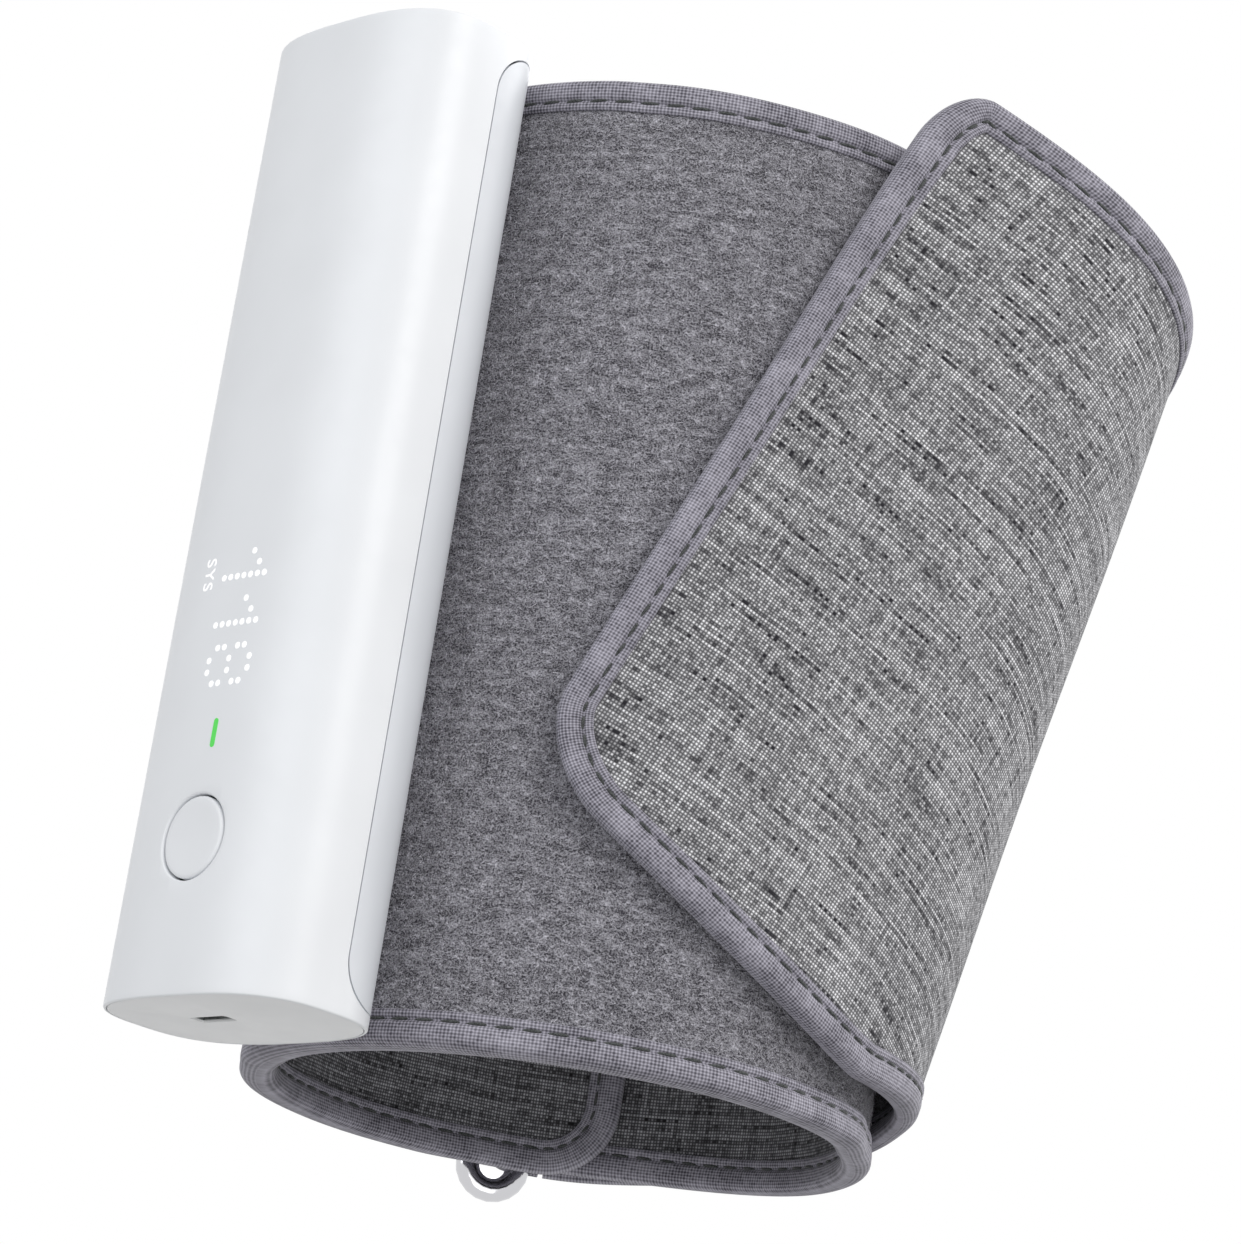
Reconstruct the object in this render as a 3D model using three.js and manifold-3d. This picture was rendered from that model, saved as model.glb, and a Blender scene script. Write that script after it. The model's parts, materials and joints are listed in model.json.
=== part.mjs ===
// One-piece upper-arm blood pressure monitor: a tube-shaped pump unit on a wrapped fabric cuff.
// Millimetres, +Z up along the arm. The cuff's own axis is x = y = 0 before the final lean.
import * as THREE from 'three';
import { mergeVertices } from 'three/addons/utils/BufferGeometryUtils.js';
import Module from 'manifold-3d';

const wasm = await Module();
wasm.setup();

// ---- shared clearances and cloth -------------------------------------------------------------
const GAP = 0.3; // between two pieces that touch
const TAPE = 0.5; // thickness of the binding tape
const TAPE_REACH = 5.4; // how far the tape reaches in from an edge
const EDGE = TAPE + GAP; // cloth ends this far inside the outline of its binding

// ---- cuff band -------------------------------------------------------------------------------
const CUFF_WIDTH = 153;
const BORE_R = 44; // inside face of the lining
const LINING = 0.9;
const BLADDER = 1.2;
const STIFFENER = 0.8;
const LOOP_CLOTH = 1.6;
const THIN = LINING + GAP + LOOP_CLOTH; // band where it holds only cloth
const THICK = THIN + BLADDER + STIFFENER + 2 * GAP; // band where it holds bladder and stiffener
const CUFF_R = BORE_R + THICK;
const BAND_START = 77; // degrees, rounded inner end that lies under the ring
const SWELL = { start: 105, rise: 12, fall: 335, drop: 15 }; // where the thick stretch begins and ends
const SPIRAL = { start: 335, end: 425 }; // where the band climbs over its own inner end
const CLIMB = THIN + 2 * EDGE + GAP + 0.1;
const END_CORNER = 12;
const STRAP_TOP = 131; // the band narrows to this before the ring
const STRAP_BOTTOM = 1.5;
const NARROWING = { start: 385, end: 440 };
const BLADDER_SPAN = [122, 330];
const STIFFENER_SPAN = [119, 334];

// ---- ring, and the cloth that turns round it --------------------------------------------------
const RING_ANGLE = 99.7;
const RING_WIRE = 2; // wire radius
const RING_PITCH = 8.4; // between the two long bars
const RING_DROP = 4.5; // how far the ring's round end reaches below the cuff's edge
const RING_TOP = 139;
const FOLD = 1.9; // cloth turned round the free bar
const FOLD_LEG = 4;
const LOOP_STRAP = 1; // strap that carries the ring

// ---- flap ------------------------------------------------------------------------------------
const FLAP_BACK = 0.8;
const FLAP_FACE = 0.9;
const FLAP = FLAP_BACK + GAP + FLAP_FACE;
const FLAP_R = CUFF_R + 2 * EDGE + GAP; // inside face of the flap where it lies on the band
const FLAP_RISE = 36; // bottom edge climbs by this towards the flap's end
const FLAP_TOP = 163;
const FLARE = { angle: 10, half: 80, depth: 30 }; // how far the top edge stands off the band
const HINGE_ANGLE = -10; // the peeled end turns about this line
const TAIL_BOTTOM_ANGLE = -104;
const TAIL_TOP_ANGLE = -50;
const TAIL_CORNER = 11;
const HOOKS = 1.2;

// ---- monitor tube ----------------------------------------------------------------------------
const TUBE = { half: 21.3, depth: 13.7, power: 2.86, wall: 1.8 }; // rounded section, half sizes
const TUBE_LENGTH = CUFF_WIDTH;
const TUBE_ANGLE = 221.2;
const TUBE_TWIST = 2.8; // the display looks this much further round than straight out
const SPLIT = 1; // height of the seam between the front shell and the rear cover
const CAP = 2;
const RIM = 1.4;
const BUTTON = { r: 6.2, flange: 1.4, z: 23.6, travel: 0.8, proud: 0.1 };
const STATUS = { x: 0.7, z: 39.2, width: 0.9, length: 4.4 };
const USB = { x: -3.4, y: -0.9, width: 7.5, height: 2.6, depth: 5.6, wall: 0.4 };
const BOARD = { side: 3.5, y: -2.3, thickness: 1.4, bottom: 6, top: 96 }; // side: clear of the shell
const MASK = { side: 0.75, rim: 2, thickness: 1.6 };
const PUMP = { r: 9.5, x: -6, y: -1.5, bottom: 99, motor: 22, play: 3.5, head: 19.5 };
const MANIFOLD = { side: 2.2, hose: 5 };
const VALVE = { r: 5, x: 10, bottom: 100, height: 18, stroke: 1 };
const CHASSIS = { y: 8.3, thickness: 1.5, side: 0.45, bottom: 10, top: 146 };
const BATTERY = { side: 1, depth: 8.6, bottom: 30, top: 80 }; // side: short of the chassis
const SCREW_R = 1;
const SCREW_IN = 3; // from the chassis's edge
const SCREW_HEIGHTS = [20, 90];
const CUFF_SCREW_R = 1.2;
const CUFF_SCREW_HEIGHTS = [30, 108];
const NOZZLE = { r: 2, x: 4, z: 134 };

// ---- how the whole stands: ring end, tube and band edge rest on the ground ---------------------
const LEAN_X = 2.41;
const LEAN_Y = 0.61;

const { cos, sin, PI, sqrt, abs, sign, min, max } = Math;
const rad = THREE.MathUtils.degToRad;
const lerp = THREE.MathUtils.lerp;
const ramp = (x, from, to) => THREE.MathUtils.smoothstep((x - from) / (to - from), 0, 1);
const polar = (r, degrees, z = 0) => new THREE.Vector3(r * cos(rad(degrees)), r * sin(rad(degrees)), z);

const FINISH = {
  shell: new THREE.MeshStandardMaterial({ color: 0xe9ebee, roughness: 0.4 }),
  rear: new THREE.MeshStandardMaterial({ color: 0xc3c6cc, roughness: 0.5 }),
  dark: new THREE.MeshStandardMaterial({ color: 0x2b2d31, roughness: 0.6 }),
  board: new THREE.MeshStandardMaterial({ color: 0x1f5a3c, roughness: 0.6 }),
  steel: new THREE.MeshStandardMaterial({ color: 0xc9cbcf, roughness: 0.2, metalness: 1 }),
  green: new THREE.MeshStandardMaterial({ color: 0x52be52, roughness: 0.3 }),
  clear: new THREE.MeshStandardMaterial({ color: 0xe8efe9, roughness: 0.2 }),
  rubber: new THREE.MeshStandardMaterial({ color: 0x5a5c60, roughness: 0.8 }),
  lining: new THREE.MeshStandardMaterial({ color: 0x97989d, roughness: 0.95 }),
  loop: new THREE.MeshStandardMaterial({ color: 0x6e6c76, roughness: 1 }),
  tape: new THREE.MeshStandardMaterial({ color: 0x807d8c, roughness: 0.9 }),
  hooks: new THREE.MeshStandardMaterial({ color: 0x3b3b41, roughness: 0.9 }),
  film: new THREE.MeshStandardMaterial({ color: 0xd9d4c8, roughness: 0.5 }),
};

// ---- geometry helpers ------------------------------------------------------------------------
// Only positions are kept, shared vertices are merged, and faces are turned to point outwards.
function closed(geometry) {
  const bare = geometry.index ? geometry : geometry.clone();
  bare.deleteAttribute('normal');
  bare.deleteAttribute('uv');
  const merged = mergeVertices(bare, 1e-4);
  if (volume(merged) < 0) {
    const index = merged.index.array;
    for (let i = 0; i < index.length; i += 3) [index[i], index[i + 1]] = [index[i + 1], index[i]];
  }
  return merged;
}

function volume(geometry) {
  const [a, b, c] = [new THREE.Vector3(), new THREE.Vector3(), new THREE.Vector3()];
  const { position } = geometry.attributes;
  const { array } = geometry.index;
  let sum = 0;
  for (let i = 0; i < array.length; i += 3) {
    a.fromBufferAttribute(position, array[i]);
    b.fromBufferAttribute(position, array[i + 1]);
    c.fromBufferAttribute(position, array[i + 2]);
    sum += a.dot(b.cross(c)) / 6;
  }
  return sum;
}

function toManifold(geometry) {
  const { attributes, index } = closed(geometry);
  const vertProperties = new Float32Array(attributes.position.array);
  const triVerts = new Uint32Array(index.array);
  return new wasm.Manifold(new wasm.Mesh({ numProp: 3, vertProperties, triVerts }));
}

function fromManifold(manifold) {
  const mesh = manifold.getMesh();
  const geometry = new THREE.BufferGeometry();
  geometry.setAttribute('position', new THREE.BufferAttribute(mesh.vertProperties, 3));
  geometry.setIndex(new THREE.BufferAttribute(mesh.triVerts, 1));
  return geometry;
}

function cut(geometry, ...tools) {
  return fromManifold(tools.reduce((body, tool) => body.subtract(toManifold(tool)), toManifold(geometry)));
}

function join(geometry, ...others) {
  return fromManifold(others.reduce((body, other) => body.add(toManifold(other)), toManifold(geometry)));
}

function reshape(geometry, place) {
  const { position } = geometry.attributes;
  for (let i = 0; i < position.count; i += 1) {
    const to = place(position.getX(i), position.getY(i), position.getZ(i));
    position.setXYZ(i, to.x, to.y, to.z);
  }
  return geometry;
}

// A layer of cloth: place(u, v, side) maps length, width and face (0 inside, 1 outside) to space.
function sheet(along, across, place) {
  const slab = new THREE.BoxGeometry(1, 1, 1, along, across, 1).translate(0.5, 0.5, 0.5);
  return closed(reshape(slab, place));
}

// Binding tape folded over an edge. place(q, inward, level) takes levels below 0 inside the cloth
// and above 1 outside it, in millimetres beyond each face.
function foldedTape(steps, place, reach = TAPE_REACH) {
  const section = new THREE.Shape();
  section.moveTo(reach, -EDGE);
  section.lineTo(0, -EDGE);
  section.lineTo(0, 1 + EDGE);
  section.lineTo(reach, 1 + EDGE);
  section.lineTo(reach, 1 + GAP);
  section.lineTo(TAPE, 1 + GAP);
  section.lineTo(TAPE, -GAP);
  section.lineTo(reach, -GAP);
  const strip = new THREE.ExtrudeGeometry(section, { depth: 1, steps, bevelEnabled: false });
  return closed(reshape(strip, (inward, level, q) => place(q, inward, level)));
}

const levelToDepth = (level, thickness) => {
  if (level < 0) return level;
  return level > 1 ? thickness + level - 1 : level * thickness;
};

function extrude(shape, bottom, top) {
  return new THREE.ExtrudeGeometry(shape, { depth: top - bottom, bevelEnabled: false }).translate(0, 0, bottom);
}

function block(x, y, z) {
  const [w, d, h] = [x[1] - x[0], y[1] - y[0], z[1] - z[0]];
  return new THREE.BoxGeometry(w, d, h).translate(x[0] + w / 2, y[0] + d / 2, z[0] + h / 2);
}

function rod(r, x, y, bottom, top, sides = 24) {
  const height = top - bottom;
  return new THREE.CylinderGeometry(r, r, height, sides).rotateX(PI / 2).translate(x, y, bottom + height / 2);
}

// A round pin along the monitor's own depth, from its front towards the arm.
function pin(r, x, z, front, rear, sides = 20) {
  const length = rear - front;
  return new THREE.CylinderGeometry(r, r, length, sides).translate(x, front + length / 2, z);
}

// Cloth seen edge-on: a ribbon of even thickness along a curve of plan points.
function ribbon(points, thickness, divisions) {
  const curve = new THREE.CatmullRomCurve3(points, false, 'centripetal');
  const left = [];
  const right = [];
  for (let i = 0; i <= divisions; i += 1) {
    const p = curve.getPointAt(i / divisions);
    const t = curve.getTangentAt(i / divisions);
    left.push(new THREE.Vector2(p.x - (t.y * thickness) / 2, p.y + (t.x * thickness) / 2));
    right.unshift(new THREE.Vector2(p.x + (t.y * thickness) / 2, p.y - (t.x * thickness) / 2));
  }
  return new THREE.Shape([...left, ...right]);
}

function add(group, name, geometry, material) {
  const mesh = new THREE.Mesh(geometry.index ? geometry : closed(geometry), material.clone());
  mesh.name = name;
  group.add(mesh);
  return mesh;
}

// ---- cuff band -------------------------------------------------------------------------------
const swelling = (angle) =>
  ramp(angle, SWELL.start, SWELL.start + SWELL.rise) * (1 - ramp(angle, SWELL.fall, SWELL.fall + SWELL.drop));
const bandThickness = (angle) => lerp(THIN, THICK, swelling(angle));
const bandInside = (angle) => BORE_R + CLIMB * ramp(angle, SPIRAL.start, SPIRAL.end);
const bandTop = (angle) => lerp(CUFF_WIDTH, STRAP_TOP, ramp(angle, NARROWING.start, NARROWING.end));
const bandBottom = (angle) => lerp(0, STRAP_BOTTOM, ramp(angle, NARROWING.start, NARROWING.end));
const degreesOf = (length, r) => (length / r) * (180 / PI);

const BAR_R = BORE_R + CLIMB + THIN + GAP + RING_WIRE; // radius at which the ring's bars lie
const BAR_HALF_ANGLE = degreesOf(RING_PITCH / 2, BAR_R);
const FREE_BAR = RING_ANGLE - BAR_HALF_ANGLE;
const STRAP_BAR = RING_ANGLE + BAR_HALF_ANGLE;
const FOLD_START = FREE_BAR - degreesOf(FOLD_LEG, BAR_R);
const BAND_END = 360 + FOLD_START - degreesOf(GAP, CUFF_R);
const END_STEPS = 4;
const BAND_STEPS = 42;

// Stations along the band: one lies at each end of the thick stretch.
function bandStation(step, from) {
  const steps = [0, 3, 29, BAND_STEPS];
  const angles = [from, SWELL.start + SWELL.rise, SWELL.fall, BAND_END];
  const i = steps.findLastIndex((first, k) => k < 3 && step >= first);
  return lerp(angles[i], angles[i + 1], (step - steps[i]) / (steps[i + 1] - steps[i]));
}

// Stations crowd together in the rounded corners at the band's inner end.
function bandAngle(u, margin) {
  const step = Math.round(u * (END_STEPS + BAND_STEPS)) - END_STEPS;
  const start = BAND_START + degreesOf(margin, BORE_R);
  const bend = degreesOf(END_CORNER, BORE_R);
  if (step < 0) return start + bend * (1 - cos((1 + step / END_STEPS) * (PI / 2)));
  return bandStation(step, start + bend);
}

function cornerInset(distance, r) {
  const into = r - max(distance, 0);
  return into <= 0 ? 0 : r - sqrt(r * r - into * into);
}

function bandCloth(depthAt) {
  return sheet(END_STEPS + BAND_STEPS, 1, (u, v, side) => {
    const angle = bandAngle(u, EDGE);
    const distance = (rad(angle - BAND_START) * BORE_R) - EDGE;
    const inset = EDGE + cornerInset(distance, END_CORNER - EDGE);
    const z = lerp(bandBottom(angle) + inset, bandTop(angle) - inset, v);
    return polar(bandInside(angle) + depthAt(angle)[side > 0.5 ? 1 : 0], angle, z);
  });
}

function bandInsert([from, to], depth, thickness, margin) {
  return sheet(28, 1, (u, v, side) => {
    const angle = lerp(from, to, u);
    const z = lerp(margin, CUFF_WIDTH - margin, v);
    return polar(BORE_R + depth + side * thickness, angle, z);
  });
}

function bandEdge(upper) {
  const from = BAND_START + degreesOf(END_CORNER + GAP, BORE_R);
  return foldedTape(BAND_STEPS, (q, inward, level) => {
    const angle = bandStation(Math.round(q * BAND_STEPS), from);
    const z = upper ? bandTop(angle) - inward : bandBottom(angle) + inward;
    return polar(bandInside(angle) + levelToDepth(level, bandThickness(angle)), angle, z);
  });
}

// The tape round the inner end: a corner, the straight end and the other corner.
function bandEndTape() {
  const arc = 5;
  const steps = 2 * arc + 1;
  return foldedTape(steps, (q, inward, level) => {
    const step = Math.round(q * steps);
    const lower = step <= arc;
    const turn = (PI / 2) * (lower ? step / arc : (steps - step) / arc);
    const r = END_CORNER - inward;
    const distance = END_CORNER - r * sin(turn);
    const rise = END_CORNER - r * cos(turn);
    const angle = BAND_START + degreesOf(distance, BORE_R);
    const z = lower ? rise : CUFF_WIDTH - rise;
    return polar(bandInside(angle) + levelToDepth(level, bandThickness(angle)), angle, z);
  });
}

function ring() {
  const bottom = -RING_DROP + RING_WIRE + RING_PITCH / 2;
  const top = RING_TOP - RING_WIRE - RING_PITCH / 2;
  const centre = polar(BAR_R, RING_ANGLE);
  const across = polar(1, RING_ANGLE + 90);
  const at = (offset, z) => centre.clone().addScaledVector(across, offset).setZ(z);
  const half = RING_PITCH / 2;
  const path = new THREE.CurvePath();
  path.add(new THREE.LineCurve3(at(half, bottom), at(half, top)));
  path.add(halfTurn(at, half, top, 1));
  path.add(new THREE.LineCurve3(at(-half, top), at(-half, bottom)));
  path.add(halfTurn(at, half, bottom, -1));
  return closed(ringTube(path));
}

// A half circle of the ring's end; way is 1 over the top and -1 round the bottom.
function halfTurn(at, half, z, way) {
  const curve = new THREE.Curve();
  curve.getPoint = (t, target = new THREE.Vector3()) =>
    target.copy(at(way * half * cos(PI * t), z + way * half * sin(PI * t)));
  return curve;
}

// Rings of wire sections: few on the straight bars, more in the round ends, closing on itself.
function ringTube(path) {
  const sections = [];
  for (const curve of path.curves) {
    const count = curve.isLineCurve3 ? 2 : 8;
    for (let i = 0; i < count; i += 1) sections.push([curve, i / count]);
  }
  const normal = polar(1, RING_ANGLE);
  const tube = new THREE.TorusGeometry(1, 0.5, 8, sections.length);
  // Torus coordinates: u round the ring's path, v round the wire.
  const { position } = tube.attributes;
  const columns = sections.length + 1;
  for (let i = 0; i < position.count; i += 1) {
    const [curve, t] = sections[(i % columns) % sections.length];
    const turn = (Math.floor(i / columns) / 8) * 2 * PI;
    const tangent = curve.getTangent(t);
    const side = new THREE.Vector3().crossVectors(tangent, normal);
    const at = curve.getPoint(t).addScaledVector(normal, RING_WIRE * cos(turn));
    at.addScaledVector(side, RING_WIRE * sin(turn));
    position.setXYZ(i, at.x, at.y, at.z);
  }
  return tube;
}

// The band turned back round the ring's free bar.
function foldOutline() {
  const bar = polar(BAR_R, FREE_BAR);
  const out = polar(1, FREE_BAR);
  const back = polar(1, FREE_BAR - 90);
  const r = RING_WIRE + GAP + FOLD / 2;
  const at = (o, b) => bar.clone().addScaledVector(out, o).addScaledVector(back, b);
  const leg = FOLD_LEG - GAP;
  const bend = [-90, -60, -30, 0, 30, 60, 90].map((a) => at(r * sin(rad(a)), -r * cos(rad(a))));
  return ribbon([at(-r, leg), at(-r, leg / 2), ...bend, at(r, leg / 2), at(r, leg)], FOLD, 24);
}

// The strap that carries the ring's other bar, both its legs sewn on the band.
function ringStrapOutline() {
  const bar = polar(BAR_R, STRAP_BAR);
  const out = polar(1, STRAP_BAR);
  const back = polar(1, STRAP_BAR + 90);
  const r = RING_WIRE + GAP + LOOP_STRAP / 2;
  const at = (o, b) => bar.clone().addScaledVector(out, o).addScaledVector(back, b);
  const seat = CUFF_R + GAP + 0.1 + LOOP_STRAP / 2;
  const bend = [-90, -60, -30, 0, 30, 60, 90].map((a) => at(r * sin(rad(a)), -r * cos(rad(a))));
  const inner = [polar(seat, STRAP_BAR + 20), polar(seat, STRAP_BAR + 13), polar(seat, STRAP_BAR + 7)];
  const rise = LOOP_STRAP + GAP;
  const outer = [at(r - 0.4, 4), polar(seat + rise + 1, STRAP_BAR + 11), polar(seat + rise, STRAP_BAR + 20)];
  return ribbon([...inner, ...bend, ...outer], LOOP_STRAP, 34);
}

function buildBand(group) {
  add(group, 'lining', bandCloth(() => [0, LINING]), FINISH.lining);
  const loopCloth = bandCloth((angle) => [bandThickness(angle) - LOOP_CLOTH, bandThickness(angle)]);
  const holes = pinsInCuff();
  add(group, 'outer_fabric', cut(loopCloth, ...holes), FINISH.loop);
  add(group, 'bladder', bandInsert(BLADDER_SPAN, LINING + GAP, BLADDER, 9), FINISH.film);
  const stiffener = bandInsert(STIFFENER_SPAN, LINING + BLADDER + 2 * GAP, STIFFENER, 7);
  add(group, 'stiffener', cut(stiffener, ...holes), FINISH.film);
  add(group, 'cuff_edge_bottom', bandEdge(false), FINISH.tape);
  add(group, 'cuff_edge_top', bandEdge(true), FINISH.tape);
  add(group, 'cuff_edge_end', bandEndTape(), FINISH.tape);
  add(group, 'metal_ring', ring(), FINISH.steel);
  add(group, 'strap_fold', extrude(foldOutline(), STRAP_BOTTOM, STRAP_TOP), FINISH.loop);
  add(group, 'ring_strap', extrude(ringStrapOutline(), TAPE_REACH + GAP, STRAP_TOP - 2), FINISH.loop);
}

// ---- flap ------------------------------------------------------------------------------------
const FLAP_START = FOLD_START - degreesOf(GAP, BAR_R);
const flapOutset = BAR_R + RING_WIRE + GAP - FLAP_R; // at the ring, the flap lies over the bar
const overlapLift = EDGE + THIN + CLIMB + BORE_R + EDGE + GAP - FLAP_R; // over the band's last stretch
function flapInside(angle) {
  const nearRing = ramp(angle, 70, 90) * (flapOutset - overlapLift - 0.2);
  return FLAP_R + (overlapLift + 0.2) * ramp(angle, 0, 65) + nearRing;
}
const flareAt = (angle) => {
  const off = (angle - FLARE.angle) / FLARE.half;
  return abs(off) >= 1 ? 0 : FLARE.depth * cos((PI / 2) * off) ** 2;
};
const flapBottom = (angle) => {
  const climb = max(0, (-35 - angle) / 69) ** 1.4;
  return STRAP_BOTTOM + 6.5 * ramp(-angle, -90, 0) + FLAP_RISE * climb;
};
const flapTop = (angle) => {
  const along = max(0, FLAP_START - angle) / (FLAP_START - TAIL_TOP_ANGLE);
  return STRAP_TOP + (FLAP_TOP - STRAP_TOP) * along ** 1.6;
};

// The flap is ruled between its bottom and top edges.
function flapPoint(angle, z, depth) {
  const share = (z - flapBottom(angle)) / (flapTop(angle) - flapBottom(angle));
  return polar(flapInside(angle) + flareAt(angle) * share + depth, angle, z);
}

const FLAP_ROWS = 6;
const HINGE_HALF = degreesOf(GAP / 2, FLAP_R);
const FLAP_DEPTHS = { flap_back: [0, FLAP_BACK], flap_face: [FLAP_BACK + GAP, FLAP] };

function flapSheet([near, far]) {
  return sheet(24, FLAP_ROWS, (u, v, side) => {
    const angle = lerp(FLAP_START, HINGE_ANGLE + HINGE_HALF, u);
    const z = lerp(flapBottom(angle) + EDGE, flapTop(angle) - EDGE, v);
    return flapPoint(angle, z, lerp(near, far, side));
  });
}

function flapEdge(upper) {
  return foldedTape(24, (q, inward, level) => {
    const angle = lerp(FLAP_START, HINGE_ANGLE + HINGE_HALF, q);
    const z = upper ? flapTop(angle) - inward : flapBottom(angle) + inward;
    return flapPoint(angle, z, levelToDepth(level, FLAP));
  });
}

// Flat outline of the tail: x is length round the band from the hinge, y is height.
const TAIL_START = HINGE_ANGLE - HINGE_HALF;
const angleOf = (x) => TAIL_START - degreesOf(x, FLAP_R);
const tailLength = (endAngle) => rad(TAIL_START - endAngle) * FLAP_R;
const TAIL_SLANT = 24; // degrees that the end leans from upright
const TAIL_RUN = tailLength(TAIL_BOTTOM_ANGLE) * cos(rad(TAIL_SLANT));
function tailEdgePoint(u, upper) {
  const x = tailLength(upper ? TAIL_TOP_ANGLE : TAIL_BOTTOM_ANGLE) * u;
  return new THREE.Vector2(x, upper ? flapTop(angleOf(x)) : flapBottom(angleOf(x)));
}

function tailLine(u, margin) {
  const low = tailEdgePoint(u, false);
  const high = tailEdgePoint(u, true);
  const way = high.clone().sub(low).normalize();
  const inset = margin + cornerInset((1 - u) * TAIL_RUN - margin, TAIL_CORNER - margin);
  return [low.addScaledVector(way, inset), high.addScaledVector(way, -inset)];
}

const TAIL_STEPS = 18;
const TAIL_ROWS = 10; // across the slanted end, so that each facet turns little

// Stations crowd together towards the rounded end.
const tailStation = (q) => lerp(q, sin((q * PI) / 2), 0.6);

function tailSheet([near, far]) {
  return sheet(TAIL_STEPS, TAIL_ROWS, (u, v, side) => {
    const reach = 1 - (EDGE + GAP) / TAIL_RUN;
    const [low, high] = tailLine(tailStation(u) * reach, EDGE + GAP);
    const at = low.lerp(high, v);
    return flapPoint(angleOf(at.x), at.y, lerp(near, far, side));
  });
}

function tailTape() {
  const rows = TAIL_STEPS;
  const outline = [];
  for (let i = 0; i <= rows; i += 1) outline.push(tailLine(tailStation(i / rows), 0)[0]);
  const [low, high] = tailLine(1, 0);
  for (let i = 1; i < TAIL_ROWS; i += 1) outline.push(low.clone().lerp(high, i / TAIL_ROWS));
  for (let i = rows; i >= 0; i -= 1) outline.push(tailLine(tailStation(i / rows), 0)[1]);
  const steps = outline.length - 1;
  return foldedTape(steps, (q, inward, level) => {
    const i = Math.round(q * steps);
    const way = outline[min(i + 1, steps)].clone().sub(outline[max(i - 1, 0)]).normalize();
    const open = i === 0 || i === steps;
    const x = outline[i].x - (open ? 0 : way.y * inward);
    const y = outline[i].y + (open ? sign(way.x) : way.x) * inward;
    return flapPoint(angleOf(x), y, levelToDepth(level, FLAP));
  });
}

function hookPatch() {
  return sheet(8, TAIL_ROWS, (u, v, side) => {
    const [low, high] = tailLine(lerp(0.58, 0.86, u), TAPE_REACH + 4);
    const at = low.lerp(high, v);
    return flapPoint(angleOf(at.x), at.y, lerp(-GAP - HOOKS, -GAP, side));
  });
}

function buildFlap(group) {
  add(group, 'flap_back', flapSheet(FLAP_DEPTHS.flap_back), FINISH.loop);
  add(group, 'flap_face', flapSheet(FLAP_DEPTHS.flap_face), FINISH.lining);
  add(group, 'flap_edge_bottom', flapEdge(false), FINISH.tape);
  add(group, 'flap_edge_top', flapEdge(true), FINISH.tape);
  add(group, 'tail_back', tailSheet(FLAP_DEPTHS.flap_back), FINISH.loop);
  add(group, 'tail_face', tailSheet(FLAP_DEPTHS.flap_face), FINISH.lining);
  add(group, 'tail_edge', tailTape(), FINISH.tape);
  add(group, 'hook_patch', hookPatch(), FINISH.hooks);
}

// ---- monitor ---------------------------------------------------------------------------------
const BLADDER_R = BORE_R + LINING + GAP + BLADDER; // outer face of the bladder
const TUBE_R = (CUFF_R + EDGE + GAP + TUBE.depth) / cos(rad(TUBE_TWIST));

// Its own frame: x across the display, y from the display towards the arm, z up.
function monitorFrame(object) {
  object.position.copy(polar(TUBE_R, TUBE_ANGLE));
  object.rotation.z = rad(TUBE_ANGLE + TUBE_TWIST + 90);
  return object;
}

// The clearances of the air nozzle and the cuff screws, as pins in the monitor's frame.
function pinsToCuff(front, length) {
  const screws = CUFF_SCREW_HEIGHTS.map((z) => pin(CUFF_SCREW_R + GAP, 0, z, front, front + length));
  return [...screws, pin(NOZZLE.r + GAP, NOZZLE.x, NOZZLE.z, front, front + length)];
}

// The same pins in the cuff's frame, for the holes in its cloth and stiffener.
function pinsInCuff() {
  const frame = monitorFrame(new THREE.Object3D());
  frame.updateMatrixWorld();
  return pinsToCuff(TUBE.depth - 2, 9).map((tool) => tool.applyMatrix4(frame.matrixWorld));
}

function sectionPoint(turn, inset) {
  const round = (value) => sign(value) * abs(value) ** (2 / TUBE.power);
  return new THREE.Vector2((TUBE.half - inset) * round(cos(turn)), (TUBE.depth - inset) * round(sin(turn)));
}

function sectionArc(inset, from, to, count) {
  return Array.from({ length: count + 1 }, (_, i) => sectionPoint(lerp(from, to, i / count), inset));
}

// Turn at which the section's outline crosses a given depth, on the +x side.
function crossing(depth, inset) {
  return Math.asin((abs(depth) / (TUBE.depth - inset)) ** (TUBE.power / 2)) * sign(depth);
}

// Half the room inside the shell: across it at a given depth, and towards its front at a given x.
const beside = (share) => (1 - abs(share) ** TUBE.power) ** (1 / TUBE.power);
const widthAt = (y) => (TUBE.half - TUBE.wall) * beside(y / (TUBE.depth - TUBE.wall));
const depthAt = (x) => (TUBE.depth - TUBE.wall) * beside(x / (TUBE.half - TUBE.wall));

const CHASSIS_HALF = widthAt(CHASSIS.y + CHASSIS.thickness) - CHASSIS.side;
const SCREW_X = CHASSIS_HALF - SCREW_IN;

function shellSection(front) {
  const level = SPLIT + (front ? -GAP / 2 : GAP / 2);
  const [outer, inner] = [crossing(level, 0), crossing(level, TUBE.wall)];
  const span = (turn) => (front ? [turn, -PI - turn] : [turn, PI - turn]);
  const skin = sectionArc(0, ...span(outer), 28);
  const lining = sectionArc(TUBE.wall, ...span(inner), 22).reverse();
  return new THREE.Shape([...skin, ...lining]);
}

const wholeSection = (inset, count = 44) => new THREE.Shape(sectionArc(inset, 0, 2 * PI, count).slice(0, -1));

function frontShell() {
  const shell = extrude(shellSection(true), CAP + GAP, TUBE_LENGTH - CAP - GAP);
  const buttonHole = pin(BUTTON.r + GAP, 0, BUTTON.z, -TUBE.depth - 1, -TUBE.depth + TUBE.wall + 1, 40);
  const half = STATUS.width / 2 + GAP;
  const tall = STATUS.length / 2 + GAP;
  const slot = block([STATUS.x - half, STATUS.x + half], [-TUBE.depth - 1, -TUBE.depth + TUBE.wall + 1],
    [STATUS.z - tall, STATUS.z + tall]);
  return cut(shell, buttonHole, slot);
}

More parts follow.
